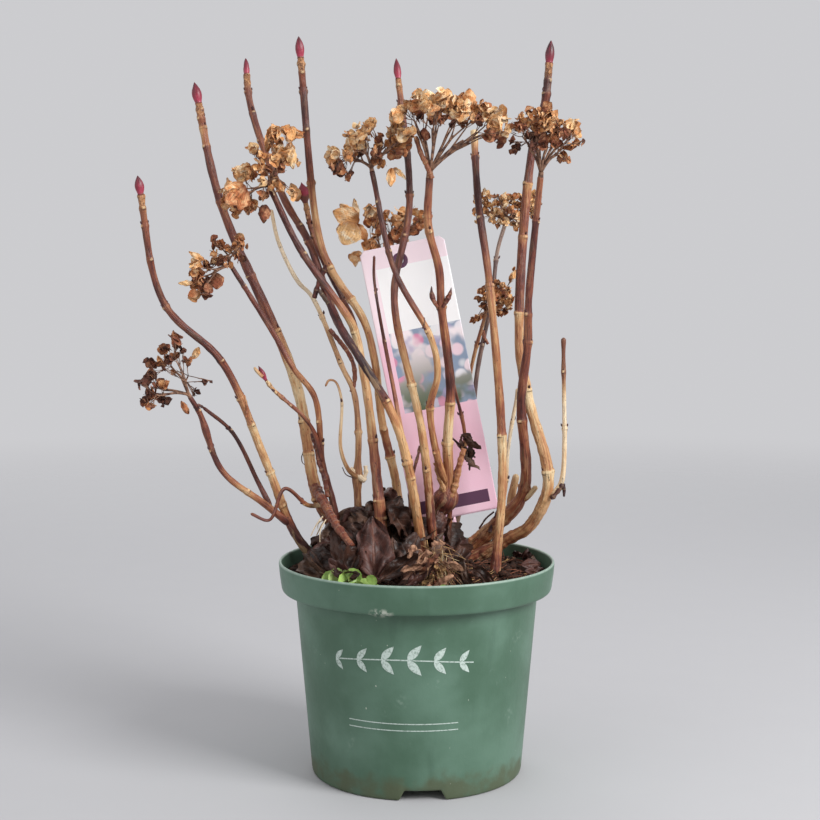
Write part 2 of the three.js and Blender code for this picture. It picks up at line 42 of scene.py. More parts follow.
# The camera stands where the photograph was taken, in front of the plant and a little above its middle.
camera = {"at": (-0.0055, -1.240, 0.410), "down": 4.95, "lens": 65.85, "sensor": 36}


def placeCamera(place):
    data = bpy.data.cameras.new("camera")
    data.lens = place["lens"]
    data.sensor_width = place["sensor"]
    eye = bpy.data.objects.new("camera", data)
    eye.location = place["at"]
    eye.rotation_euler = (math.radians(90 - place["down"]), 0, 0)
    bpy.context.collection.objects.link(eye)
    bpy.context.scene.camera = eye


placeCamera(camera)
print("camera placed")


# Shader tools

# A colour written as six hexadecimal digits, as the linear numbers that a socket takes.
def paint(digits):
    share = np.array([int(digits[i:i + 2], 16) / 255 for i in (0, 2, 4)])
    linear = np.where(share <= 0.04045, share / 12.92, ((share + 0.055) / 1.055) ** 2.4)
    return (*linear.tolist(), 1.0)


class Wire:
    # One output of a shader node. Arithmetic on it adds the Math nodes that work it out.
    def __init__(self, finish, socket):
        self.finish = finish
        self.socket = socket

    def maths(self, operation, first, second):
        return self.finish.node("Math", {"operation": operation}, {0: first, 1: second})

    def __add__(self, other):
        return self.maths("ADD", self, other)

    def __sub__(self, other):
        return self.maths("SUBTRACT", self, other)

    def __rsub__(self, other):
        return self.maths("SUBTRACT", other, self)

    def __mul__(self, other):
        return self.maths("MULTIPLY", self, other)

    def __pow__(self, other):
        return self.maths("POWER", self, other)

    def __lt__(self, other):
        return self.maths("LESS_THAN", self, other)

    def __gt__(self, other):
        return self.maths("GREATER_THAN", self, other)

    __radd__ = __add__
    __rmul__ = __mul__


# 1 where the wire's value lies between low and high, 0 elsewhere.
def between(wire, low, high):
    return (wire > low) * (wire < high)


def setStops(elements, stops):
    elements.remove(elements[-1])
    elements[0].position = stops[0][0]
    elements[0].color = paint(stops[0][1])
    for place, colour in stops[1:]:
        elements.new(place).color = paint(colour)


class Finish:
    # One material. Sockets that stay the same all over are set as it is made.
    def __init__(self, name, sockets):
        self.material = bpy.data.materials.new(name)
        self.material.use_nodes = True
        self.tree = self.material.node_tree
        self.tree.nodes.clear()
        self.shader = self.tree.nodes.new("ShaderNodeBsdfPrincipled")
        end = self.tree.nodes.new("ShaderNodeOutputMaterial")
        self.tree.links.new(self.shader.outputs[0], end.inputs["Surface"])
        for socket, value in sockets.items():
            self.shader.inputs[socket].default_value = value

    # Any shader node: its settings first, a ramp's stops among them, then its sockets' links, numbers
    # or colours, which are written as digits.
    def node(self, kind, settings=None, values=None, out=None):
        made = self.tree.nodes.new("ShaderNode" + kind)
        for key, value in (settings or {}).items():
            if key == "stops":
                setStops(made.color_ramp.elements, value)
            else:
                setattr(made, key, value)
        for key, value in (values or {}).items():
            if isinstance(value, Wire):
                self.tree.links.new(value.socket, made.inputs[key])
            else:
                made.inputs[key].default_value = paint(value) if isinstance(value, str) else value
        shown = [socket for socket in made.outputs if socket.enabled]
        return Wire(self, made.outputs[out] if out else shown[0])

    # The place on the object in metres, stretched along each axis.
    def place(self, stretch=(1, 1, 1)):
        return self.stretched(self.node("TexCoord", out="Object"), stretch)

    # Soft noise from 0 to 1 in patches of the given size in metres.
    def noise(self, size, detail=3.0, stretch=(1, 1, 1), where=None):
        values = {"Vector": where or self.place(stretch), "Scale": 1 / size, "Detail": detail}
        return self.node("TexNoise", {}, values)

    def stretched(self, where, stretch):
        return self.node("Mapping", {}, {"Vector": where, "Scale": stretch})

    def mark(self, name):
        return self.node("Attribute", {"attribute_name": name}, out="Fac")

    # Rises smoothly from 0 to 1 as the value goes from low to high.
    def rise(self, value, low, high):
        values = {"Value": value, "From Min": low, "From Max": high}
        return self.node("MapRange", {"interpolation_type": "SMOOTHSTEP"}, values)

    def ramp(self, value, stops):
        return self.node("ValToRGB", {"stops": stops}, {"Fac": value})

    def blend(self, share, first, second):
        return self.node("Mix", {"data_type": "RGBA"}, {0: share, 6: first, 7: second})

    def largest(self, first, second):
        return self.node("Math", {"operation": "MAXIMUM"}, {0: first, 1: second})

    # Lays colours over a first one in turn, each by its own share.
    def coats(self, colour, coats):
        for share, over in coats:
            colour = self.blend(share, colour, over)
        return colour

    def bump(self, height, depth, strength=1.0):
        return self.node("Bump", {}, {"Height": height, "Distance": depth, "Strength": strength})

    def feed(self, **wires):
        names = {"colour": "Base Color", "roughness": "Roughness", "normal": "Normal", "alpha": "Alpha"}
        for name, wire in wires.items():
            self.tree.links.new(wire.socket, self.shader.inputs[names[name]])
        return self


# Shape tools

def unit(vectors):
    return vectors / np.maximum(np.linalg.norm(vectors, axis=-1, keepdims=True), 1e-12)


def smooth(value, low, high):
    share = np.clip((value - low) / (high - low), 0, 1)
    return share * share * (3 - 2 * share)


# Points at a distance and a bearing from the upright axis, at a height.
def roundAxis(radius, angle, height):
    x, y = radius * np.cos(angle), radius * np.sin(angle)
    return np.stack(np.broadcast_arrays(x, y, height), axis=-1)


# A bell curve of a distance: 1 in the middle, falling away over wide.
def bell(far, wide):
    return np.exp(-((far / wide) ** 2))


# The measures of a table in millimetres, in metres.
def metres(values):
    return np.array(values) / 1000


# Smooth lumps about -1 to 1: a sum of eight plane waves in seeded directions, about size apart.
def lumps(points, size, seed):
    dice = np.random.default_rng(seed)
    ways = unit(dice.normal(size=(8, 3))) * dice.uniform(0.6, 1.6, (8, 1)) * turn / size
    return np.sin(points @ ways.T + dice.uniform(0, turn, 8)).sum(axis=-1) / 4


# A smooth curve through points: cubic spans, with knots spaced by the square root of the distances.
def smoothRoute(points, perBend=24):
    p = np.array(points, float)
    p = np.vstack([2 * p[0] - p[1], p, 2 * p[-1] - p[-2]])
    gaps = np.sqrt(np.linalg.norm(np.diff(p, axis=0), axis=1))[:, None]
    a, b, c, d = p[:-3], p[1:-2], p[2:-1], p[3:]
    before, here, after = gaps[:-2], gaps[1:-1], gaps[2:]
    leave = ((b - a) / before - (c - a) / (before + here) + (c - b) / here) * here
    arrive = ((c - b) / here - (d - b) / (here + after) + (d - c) / after) * here
    t = np.linspace(0, 1, perBend, endpoint=False)[None, :, None]
    b, c, leave, arrive = (v[:, None, :] for v in (b, c, leave, arrive))
    square = 3 * (c - b) - 2 * leave - arrive
    cube = 2 * (b - c) + leave + arrive
    spans = b + leave * t + square * t**2 + cube * t**3
    return np.vstack([spans.reshape(-1, 3), p[-2]])


def lengthOf(curve):
    return np.linalg.norm(np.diff(curve, axis=0), axis=1).sum()


# Points of a curve at distances along it, straight on past its ends.
def pointsAt(curve, at):
    steps = np.linalg.norm(np.diff(curve, axis=0), axis=1)
    reached = np.concatenate([[0], np.cumsum(steps)])
    at = np.asarray(at, float)
    inside = np.stack([np.interp(at, reached, curve[:, k]) for k in range(3)], axis=-1)
    first = unit(curve[1] - curve[0])
    last = unit(curve[-1] - curve[-2])
    short = np.minimum(at, 0)[..., None]
    over = np.maximum(at - reached[-1], 0)[..., None]
    return inside + first * short + last * over


# The way a curve runs at distances along it, and two directions square to it.
def frameAt(curve, at, near=0.002):
    way = unit(pointsAt(curve, np.asarray(at) + near) - pointsAt(curve, np.asarray(at) - near))
    side = unit(np.array([0, 1.0, 0]) - way[..., 1:2] * way)
    return way, side, np.cross(way, side)


class Shape:
    # Points and faces gathered for one piece. Grids have the shape (count, rows, columns, 3).
    # A tube's columns wrap round, and each of its ends closes on one middle point.
    def __init__(self):
        self.points, self.quads, self.tris, self.quadLooks, self.triLooks = [], [], [], [], []
        self.marks = {}
        self.total = 0

    def add(self, grids, tube=True, looks=0, marks=None):
        count, rows, cols, _ = grids.shape
        across = cols if tube else cols - 1
        i, j = np.meshgrid(np.arange(rows - 1), np.arange(across), indexing="ij")
        here = i * cols + j
        beside = i * cols + (j + 1) % cols
        quad = np.stack([here, beside, beside + cols, here + cols], axis=-1).reshape(-1, 4)
        starts = self.total + np.arange(count) * rows * cols
        looks = np.broadcast_to(looks, count)
        self.points.append(grids.reshape(-1, 3))
        self.quads.append((starts[:, None, None] + quad).reshape(-1, 4))
        self.quadLooks.append(np.repeat(looks, len(quad)))
        values = {name: np.broadcast_to(v, grids.shape[:3]) for name, v in (marks or {}).items()}
        gathered = {name: [v.reshape(-1)] for name, v in values.items()}
        self.total += count * rows * cols
        if tube:
            self.points.append(grids[:, [0, -1]].mean(axis=2).reshape(-1, 3))
            poles = self.total + 2 * np.arange(count)[:, None]
            k = np.arange(cols)
            ahead = (k + 1) % cols
            low = starts[:, None]
            high = low + (rows - 1) * cols
            foot = np.stack(np.broadcast_arrays(poles, low + ahead, low + k), axis=-1)
            top = np.stack(np.broadcast_arrays(poles + 1, high + k, high + ahead), axis=-1)
            self.tris += [foot.reshape(-1, 3), top.reshape(-1, 3)]
            self.triLooks += [np.repeat(looks, cols)] * 2
            self.total += 2 * count
            for name, v in values.items():
                gathered[name].append(v[:, [0, -1]].mean(axis=2).reshape(-1))
        for name, batches in gathered.items():
            self.marks.setdefault(name, []).extend(batches)
        return self

    # Puts the faces into a mesh object that rides on the plant's one body.
    def piece(self, name, finishes, slot, stands=()):
        points = np.concatenate(self.points)
        quads = np.concatenate(self.quads)
        tris = np.concatenate(self.tris) if self.tris else np.zeros((0, 3), int)
        looks = np.concatenate(self.quadLooks + self.triLooks)
        corners = np.concatenate([quads.ravel(), tris.ravel()]).astype(np.int32)
        starts = np.concatenate([np.arange(len(quads)) * 4, 4 * len(quads) + np.arange(len(tris)) * 3])
        mesh = bpy.data.meshes.new(name)
        mesh.vertices.add(len(points))
        mesh.vertices.foreach_set("co", points.astype(np.float32).ravel())
        mesh.loops.add(len(corners))
        mesh.loops.foreach_set("vertex_index", corners)
        mesh.polygons.add(len(starts))
        mesh.polygons.foreach_set("loop_start", starts.astype(np.int32))
        mesh.polygons.foreach_set("material_index", looks.astype(np.int32))
        mesh.polygons.foreach_set("use_smooth", np.ones(len(starts), bool))
        for mark, batches in self.marks.items():
            data = mesh.attributes.new(mark, "FLOAT", "POINT").data
            data.foreach_set("value", np.concatenate(batches).astype(np.float32))
        mesh.update(calc_edges=True)
        for finish in finishes:
            mesh.materials.append(finish.material)
        made = bpy.data.objects.new(name, mesh)
        bpy.context.collection.objects.link(made)
        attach(made, "root")
        if stands:
            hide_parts(*stands)
        return made


# Rings round a curve: the centre plus radius times a turning direction square to the way.
# Curve data has the shape (..., rows, 3), radius (..., rows) or (..., rows, columns).
def ringsAround(centre, side, up, radius, cols):
    angle = np.arange(cols) * turn / cols
    if radius.ndim == centre.ndim - 1:
        radius = radius[..., None]
    spoke = side[..., None, :] * np.cos(angle)[:, None] + up[..., None, :] * np.sin(angle)[:, None]
    return centre[..., None, :] + spoke * radius[..., None]


# Many thin twigs at once, each along the bent line from start past middle to end (a quadratic
# curve), tapering from one radius to the other.
def twigs(starts, middles, ends, radii, rows=5, cols=5):
    a, m, b = (np.asarray(v, float)[:, None, :] for v in (starts, middles, ends))
    t = np.linspace(0, 1, rows)[None, :, None]
    centre = a * (1 - t) ** 2 + 2 * m * t * (1 - t) + b * t**2
    way = unit(2 * (m - a) * (1 - t) + 2 * (b - m) * t)
    level = unit(np.cross(way[:, :1], [0.31, 0.2, 0.93]))
    side = unit(level - (level * way).sum(axis=-1, keepdims=True) * way)
    radii = np.asarray(radii, float)
    radius = radii[:, :1] + (radii[:, 1:] - radii[:, :1]) * t[..., 0]
    return ringsAround(centre, side, np.cross(way, side), radius, cols)


# Softens a profile's corners: each becomes a short quadratic arc that starts and ends cut away
# from the corner, or at a third of the way to the next one.
def softened(profile, cut, steps=3):
    p = np.array(profile, float)
    back = p[:-2] - p[1:-1]
    on = p[2:] - p[1:-1]
    backLength = np.linalg.norm(back, axis=1, keepdims=True)
    onLength = np.linalg.norm(on, axis=1, keepdims=True)
    start = p[1:-1] + back / backLength * np.minimum(cut, backLength / 3)
    end = p[1:-1] + on / onLength * np.minimum(cut, onLength / 3)
    t = np.linspace(0, 1, steps)[None, :, None]
    arcs = start[:, None] * (1 - t) ** 2 + 2 * p[1:-1][:, None] * t * (1 - t) + end[:, None] * t**2
    return np.vstack([p[:1], arcs.reshape(-1, 2), p[-1:]])


# Pot

pot = {
    "height": 0.178,
    "footRadius": 0.088,
    "neckRadius": 0.101,
    "rimRadius": 0.115,
    "rimHeight": 0.025,
    "wall": 0.002,
    "floor": 0.0025,
    "corner": 0.0012,
    "around": 480,
    "channels": 3,
    "channelTurn": 3,
    "channelHalf": 0.0185,
    "channelSlope": 0.004,
    "channelHeight": 0.008,
    "channelFrom": 0.046,
    "green": "44634f",
    "paleGreen": "5c7b69",
    "darkGreen": "385443",
    "dirt": "4f5238",
    # The pale colour for dust and scratches also paints the highlight along the rim's top edge.
    "scuffAndHighlight": "a9bcb0",
    "pale": "c9cdbf",
    "rub": (-0.028, 0.1545),
}


def potFinish():
    sockets = {"Specular IOR Level": 0.45, "Coat Weight": 0.06, "Coat Roughness": 0.35}
    finish = Finish("pot_plastic", sockets)
    spot = finish.place()
    across, back, height = (finish.node("SeparateXYZ", {}, {0: spot}, out=way) for way in "XYZ")
    cloud = finish.noise(0.06, 4)
    fine = finish.noise(0.0035, 4)
    streak = finish.noise(0.012, 3, (1, 1, 0.12))
    mottled = finish.blend(finish.rise(cloud, 0.35, 0.7), pot["green"], pot["paleGreen"])
    low = 1 - finish.rise(height, 0.004, 0.045)
    dirty = finish.rise(low * 0.7 + finish.noise(0.016, 6) * 0.9, 0.84, 1.2)
    dust = finish.rise(finish.noise(0.022, 6), 0.6, 0.82) * finish.rise(fine, 0.45, 0.7)
    specks = finish.rise(finish.noise(0.0028, 1), 0.8, 0.86)
    scratches = finish.rise(finish.noise(0.006, 2, (1, 1, 5)), 0.74, 0.8) * finish.rise(cloud, 0.5, 0.65)
    # The rim's top edge is paler: partly a painted highlight where the upward-facing edge catches the
    # light, partly scuffed wear.
    rimEdgeHighlightAndWear = finish.rise(height, pot["height"] - 0.0022, pot["height"] - 0.0008) * (0.25 + fine * 0.6)
    rubX, rubZ = pot["rub"]
    far = (((across - rubX) * 0.5) ** 2 + (height - rubZ) ** 2) ** 0.5
    rub = (1 - finish.rise(far, 0.002, 0.006)) * finish.rise(fine, 0.42, 0.6) * (back < 0)
    colour = finish.coats(mottled, [
        (finish.rise(streak, 0.58, 0.8) * 0.35, pot["darkGreen"]),
        (dirty * 0.75, pot["dirt"]),
        (dust * 0.3, pot["scuffAndHighlight"]),
        (specks * 0.8, pot["pale"]),
        (scratches * 0.45, pot["scuffAndHighlight"]),
        (rimEdgeHighlightAndWear, pot["scuffAndHighlight"]),
        (rub * 0.7, pot["pale"]),
    ])
    roughness = 0.40 + fine * 0.14 + dirty * 0.2
    normal = finish.bump(fine + cloud * 2 + streak, 0.00025, 0.5)
    return finish.feed(colour=colour, roughness=roughness, normal=normal)


# How far the drain channels raise the pot's underside: each is a bar running outwards with
# sloping sides, full height where the sideways distance is less than its half width.
def channelRise(x, y):
    lift = np.zeros_like(x)
    for k in range(pot["channels"]):
        angle = math.radians(pot["channelTurn"]) + k * turn / pot["channels"]
        sideways = np.abs(x * math.cos(angle) + y * math.sin(angle))
        outwards = x * math.sin(angle) - y * math.cos(angle)
        bar = np.clip((pot["channelHalf"] - sideways) / pot["channelSlope"], 0, 1)
        bar = bar * smooth(outwards, pot["channelFrom"] - 0.001, pot["channelFrom"] + 0.001)
        lift = np.maximum(lift, bar * pot["channelHeight"])
    return lift


# A turned wall: the profile's radius and height swept round, with the foot lifted over the channels
# by their rise times a share that fades from 1 at the floor to 0 at fadeHeight.
def makePot():
    foot, neck, rim, height = pot["footRadius"], pot["neckRadius"], pot["rimRadius"], pot["height"]
    collar = height - pot["rimHeight"]
    wall = pot["wall"]
    climb = [(foot + (neck - foot) * z / collar, z) for z in (0.004, 0.008, 0.014, 0.022, 0.032, 0.06, 0.1)]
    outside = [
        (0.012, 0), (0.03, 0), (0.044, 0), (0.048, 0), (0.06, 0), (0.07, 0), (foot - 0.0035, 0),
        (foot - 0.0006, 0.0005), (foot, 0.002), *climb, (neck - 0.0003, collar - 0.004), (neck, collar),
        (rim - 0.0033, collar + 0.0008), (rim - 0.0024, collar + 0.003), (rim - 0.0010, collar + 0.013),
        (rim - 0.0008, collar + 0.0145), (rim - 0.0002, height - 0.0035), (rim, height - 0.0018),
        (rim - 0.0008, height), (rim - wall - 0.0004, height - 0.0006),
    ]
    inside = [
        (rim - 0.0024 - wall, collar + 0.0025 + wall), (neck - wall, collar + wall), (0.096, 0.1),
        (foot - wall, pot["floor"] + 0.002), (foot - wall - 0.002, pot["floor"]), (0.05, pot["floor"]),
        (0.012, pot["floor"]),
    ]
    profile = softened(outside + inside, pot["corner"])
    angle = np.arange(pot["around"]) * turn / pot["around"]
    grid = roundAxis(profile[:, :1], angle, profile[:, 1:])
    lift = channelRise(grid[..., 0], grid[..., 1])
    fadeHeight = 0.032
    grid[..., 2] += lift * np.clip(1 - grid[..., 2] / fadeHeight, 0, 1)
    Shape().add(grid[None]).piece("pot_shell", [potFinish()], "pot", ["pot"])


# The plain print on the pot's front: a sprig of paired leaves over a thin double rule.
potPrint = {
    "colour": "bccbc3",
    "proud": 0.00018,
    "sprigHeight": 0.112,
    "sprigReach": 0.058,
    "pairs": 6,
    "leaf": 0.017,
    "ruleHeights": (0.064, 0.0585),
    "ruleReach": 0.045,
    "ruleThick": 0.0008,
    "middle": -0.012,
}


# Lays flat drawings on the pot's slanted wall: across becomes an angle round the axis.
def onPotWall(across, level):
    foot, neck = pot["footRadius"], pot["neckRadius"]
    radius = foot + (neck - foot) * level / (pot["height"] - pot["rimHeight"]) + potPrint["proud"]
    angle = (across + potPrint["middle"]) / radius - math.pi / 2
    return roundAxis(radius, angle, level)


# Each leaf is an almond: its width is a sine of the way along it. A rule is a straight band.
def makePotPrint():
    finish = Finish("pot_print", {"Roughness": 0.6})
    worn = finish.rise(finish.noise(0.0016, 4), 0.3, 0.55)
    ink = finish.blend(worn * 0.55 + 0.45, pot["green"], potPrint["colour"])
    finish.feed(colour=ink, normal=finish.bump(worn, 0.00005, 0.3))
    shape = Shape()
    t = np.linspace(0, 1, 9)[:, None]
    s = np.linspace(-1, 1, 5)[None, :]
    reach, leaf = potPrint["sprigReach"], potPrint["leaf"]
    stemX = np.linspace(-reach, reach, 41)[:, None]
    bow = lambda x: potPrint["sprigHeight"] + 0.004 * np.cos(x / reach * math.pi / 2)
    stem = onPotWall(stemX + 0 * s, bow(stemX) + s * 0.0005)
    shape.add(stem[None], tube=False)
    grids = []
    for x in np.linspace(-reach, reach - 0.012, potPrint["pairs"]):
        for way in (-1, 1):
            tilt = way * math.radians(48)
            size = leaf * (1 - 0.35 * abs(x) / reach)
            along = t * size
            width = s * np.sin(math.pi * t ** 0.8) * size * 0.2
            leafX = x + along * math.cos(tilt) - width * math.sin(tilt)
            leafZ = bow(x) + along * math.sin(tilt) + width * math.cos(tilt)
            grids.append(onPotWall(leafX, leafZ))
    shape.add(np.array(grids), tube=False)
    for level in potPrint["ruleHeights"]:
        ruleX = np.linspace(-1, 1, 41)[:, None] * potPrint["ruleReach"]
        ruleZ = level + 0 * ruleX + s * potPrint["ruleThick"] / 2
        shape.add(onPotWall(ruleX + 0 * s, ruleZ)[None], tube=False)
    shape.piece("pot_print", [finish], "pot")


makePot()
makePotPrint()
print("pot made")


# Potting soil

ground = 0.1663
soil = {
    "top": 0.1655,
    "radius": 0.1112,
    "foot": 0.014,
    "rough": 0.0016,
    "around": 150,
    "rings": 44,
    "crumbs": 560,
    "crumb": (0.0014, 0.0054),
    "fibres": 140,
    "tuft": (0.012, -0.080, 0.198),
    "tuftFibres": 120,
    "tuftBlades": 16,
    "limit": 0.106,
    "dark": "1d1513",
    "brown": "3c2a22",
    "red": "5a3527",
    "threads": [
        ("straw", "c39c68", "6a4830"), ("root_pale", "d8c49c", "7a5a3c"),
        ("fibre_red", "8a5238", "4a2a1e"), ("paper", "bd9072", "6e4936"),
    ],
}


def soilFinish():
    finish = Finish("peat", {"Roughness": 0.95, "Specular IOR Level": 0.25})
    grain = finish.noise(0.0022, 6)
    patch = finish.noise(0.02, 3)
    stops = [(0.3, soil["dark"]), (0.52, soil["brown"]), (0.72, soil["red"])]
    colour = finish.ramp(grain * 0.8 + patch * 0.2, stops)
    return finish.feed(colour=colour, normal=finish.bump(grain, 0.0012))


# The soil is a closed turned plug. Its top is a disc lifted by lumps of three sizes.
def makeSoil(finish):
    radii = np.linspace(soil["radius"], 0.002, soil["rings"])
    angle = np.arange(soil["around"]) * turn / soil["around"]
    spot = roundAxis(radii[:, None], angle, 0.0)
    rough = lumps(spot, 0.03, 5) + 0.7 * lumps(spot, 0.011, 6) + 0.6 * lumps(spot, 0.005, 7)
    top = soil["top"] + soil["rough"] * rough * smooth(soil["radius"] - radii, 0, 0.004)[:, None]
    side = np.array([(0.01, soil["foot"]), (0.082, soil["foot"]), (0.098, 0.15), (0.1045, 0.158)])
    lower = roundAxis(side[:, :1], angle, side[:, 1:])
    upper = roundAxis(radii[:, None], angle, top)
    Shape().add(np.concatenate([lower, upper])[None]).piece("soil_plug", [finish], "soil", ["soil"])


# Crumbs of peat: small balls of four rings whose radius is shaken point by point.
def makeCrumbs(finish):
    dice = np.random.default_rng(12)
    count = soil["crumbs"]
    angle, out = dice.uniform(0, turn, count), np.sqrt(dice.uniform(0.02, 0.93, count)) * soil["radius"]
    size = dice.uniform(*soil["crumb"], count) * dice.uniform(0.5, 1, count)
    middle = roundAxis(out, angle, soil["top"] + size * 0.4)
    tilt = np.linspace(-0.42, 0.42, 4) * math.pi
    centre = middle[:, None, :] + np.sin(tilt)[:, None] * size[:, None, None] * np.array([0, 0, 0.7])
    radius = (np.cos(tilt) * size[:, None])[..., None] * dice.uniform(0.65, 1.3, (count, 4, 6))
    side = np.broadcast_to([1.0, 0, 0], centre.shape)
    up = np.broadcast_to([0, 1.0, 0], centre.shape)
    Shape().add(ringsAround(centre, side, up, radius, 6)).piece("peat_crumbs", [finish], "soil")


# Fibres and threads lying about: thin bent twigs between two points near the soil, none of them
# further out than limit, the pot's wall. The straw tuft is a frayed stump of narrow papery blades
# with fibres fanning down from its top.
def makeFibres():
    looks = []
    for name, colour, dark in soil["threads"]:
        finish = Finish("fibre_" + name, {"Roughness": 0.8})
        tone = finish.noise(0.004, 3)
        mixed = finish.blend(finish.rise(tone, 0.3, 0.7), colour, dark)
        looks.append(finish.feed(colour=mixed, normal=finish.bump(tone, 0.0002)))
    dice = np.random.default_rng(21)
    count = soil["fibres"]
    right = np.arange(count) > count * 0.4
    angle, out = dice.uniform(0, turn, count), np.sqrt(dice.uniform(0, 0.84, count)) * soil["radius"]
    x = np.where(right, dice.uniform(0.035, 0.092, count), out * np.cos(angle))
    y = np.where(right, dice.uniform(-0.068, 0.035, count), out * np.sin(angle))
    z = soil["top"] + dice.uniform(0.0005, 0.004, count)
    start = np.stack([x, y, z], axis=-1)
    way = unit(dice.normal(size=(count, 3)) * [1, 1, 0.3])
    length = dice.uniform(0.007, 0.026, count)[:, None]
    end = start + way * length
    middle = (start + end) / 2 + dice.normal(size=(count, 3)) * length * [0.3, 0.3, 0.14]
    tuft = soil["tuft"]
    fan = soil["tuftFibres"]
    lean, fall = dice.normal(0.2, 0.4, fan) * math.pi, dice.uniform(0.1, 1.0, fan)
    spread = dice.uniform(0.003, 0.022, fan)
    top = np.array(tuft) + dice.normal(size=(fan, 3)) * [0.0055, 0.003, 0.007] - [0, 0, 0.006]
    reach = np.stack([spread * np.sin(lean), -spread * np.cos(lean) * 0.6, -0.034 * fall], axis=-1)
    start = np.concatenate([start, top])
    end = np.concatenate([end, top + reach])
    middle = np.concatenate([middle, top + reach * [0.65, 0.65, 0.4] + dice.normal(0, 0.0022, (fan, 3))])
    for ends, low in ((end, 0.0006), (middle, 0.001)):
        ends[:, 2] = np.maximum(ends[:, 2], soil["top"] + low)
        ends[:, :2] *= np.minimum(1, soil["limit"] / np.linalg.norm(ends[:, :2], axis=1, keepdims=True))
    thick = np.concatenate([dice.uniform(0.0002, 0.0006, count), dice.uniform(0.00016, 0.0004, fan)])
    grids = twigs(start, middle, end, np.stack([thick, thick * 0.5], axis=1), 7, 4)
    onRight = dice.choice([2, 2, 2, 0], count)
    elsewhere = dice.choice([0, 1, 2, 2], count)
    look = np.concatenate([np.where(right, onRight, elsewhere), dice.choice([0, 0, 1, 2], fan)])
    shape = Shape().add(grids, looks=look)
    blade = soil["tuftBlades"]
    swing = dice.uniform(-1, 1, blade) * math.pi
    foot = np.array(tuft) + dice.normal(size=(blade, 3)) * [0.007, 0.003, 0.007] - [0, 0.006, 0.006]
    along = np.stack([np.sin(swing), -np.cos(swing) * 0.35, dice.uniform(-1.2, 0.3, blade)], axis=-1)
    face = np.stack([np.sin(swing), -np.cos(swing), 0.4 + 0 * swing], axis=-1)
    long = dice.uniform(0.012, 0.026, blade)
    wide = long * dice.uniform(0.3, 0.55, blade)
    bend = dice.uniform(-1.5, 1.0, blade)
    roll = dice.uniform(-1.2, 1.2, blade)
    papery = blades(foot, along, face, long, wide, bend, roll, 0.0018, 22, ragged=0.12)
    papery[..., 2] = np.maximum(papery[..., 2], soil["top"] + 0.0008)
    shape.add(papery, tube=False, looks=dice.choice([3, 3, 3, 0, 2], blade))
    shape.piece("soil_fibres", looks, "soil")


# Leaves and sepals

# Leaf surfaces, one for each row of the tables. Along the leaf its midrib is an arc of a circle that
# starts at the root and turns by bend, across it the blade is an arc turned by roll and folded into
# a V, its half width is a sine power of the way along with a ragged edge, and seeded waves crumple it.
def blades(root, along, face, length, width, bend, roll, crumple, seed, rows=11, cols=7, shoulder=0.8,
           ragged=0.0, folded=0.0, full=0.75):
    dice = np.random.default_rng(seed)
    count = len(root)
    along = unit(along)
    across = unit(np.cross(face, along))
    face = np.cross(along, across)
    t = np.linspace(0.015, 0.985, rows)[None, :, None]
    s = np.linspace(-1, 1, cols)[None, None, :]
    length, width, bend, roll, crumple = (
        np.broadcast_to(v, count)[:, None, None] for v in (length, width, bend, roll, crumple))
    bend = np.where(np.abs(bend) < 0.01, 0.01, bend)
    roll = np.where(np.abs(roll) < 0.01, 0.01, roll)
    forward = np.sin(bend * t) / bend * length
    rise = (1 - np.cos(bend * t)) / bend * length
    half = width / 2 * np.sin(math.pi * t ** shoulder) ** full
    phase = dice.uniform(0, turn, (5, count, 1, 1))
    edge = np.sin(turn * 2.3 * t + phase[0]) + np.sin(turn * 4.1 * t + 2 * np.sign(s) + phase[1])
    half = half * (1 + ragged * edge * np.abs(s))
    sideways = np.sin(roll * s) / roll * half
    lift = (1 - np.cos(roll * s)) / roll * half + folded * half * np.abs(s)
    waves = np.zeros(1)
    for k in range(5):
        turns = dice.uniform(0.5, 2.2, (2, count, 1, 1)) * (1 + 0.55 * k)
        spot = turns[0] * t + turns[1] * s * 0.5 * (-1) ** k
        waves = waves + np.sin(turn * spot + phase[k]) / (1 + 0.8 * k)
    out = rise + lift + waves * crumple * np.minimum(1, half / width * 3)
    place = root[:, None, None, :]
    for way, far in ((along, forward), (across, sideways), (face, out)):
        place = place + way[:, None, None, :] * far[..., None]
    return place


# How far along and across its blade each point of a grid lies, as marks for the blade's finish.
def bladeMarks(rows, cols):
    return {"along": np.linspace(0, 1, rows)[:, None], "across": np.linspace(-1, 1, cols)[None, :]}


peat = soilFinish()
makeSoil(peat)
makeCrumbs(peat)
makeFibres()
print("soil made")


# A dead leaf's finish: leathery brown with paler side veins read from the leaf's own marks.
def deadLeafFinish(name, dark, light, vein):
    finish = Finish(name, {"Specular IOR Level": 0.5})
    along, across = finish.mark("along"), finish.mark("across")
    spread = finish.node("Math", {"operation": "ABSOLUTE"}, {0: across})
    ribs = finish.node("Math", {"operation": "PINGPONG"}, {0: along * 9 - spread * 2.2, 1: 0.5})
    line = 1 - finish.rise(ribs, 0.0, 0.09)
    middle = 1 - finish.rise(spread, 0.0, 0.1)
    cloud = finish.noise(0.012, 5)
    base = finish.blend(finish.rise(cloud, 0.3, 0.7), dark, light)
    veined = finish.blend(line * 0.35 + middle * 0.5, base, vein)
    height = finish.noise(0.003, 4) + line * 0.5 + middle
    return finish.feed(colour=veined, roughness=0.4 + cloud * 0.25, normal=finish.bump(height, 0.0007, 0.8))


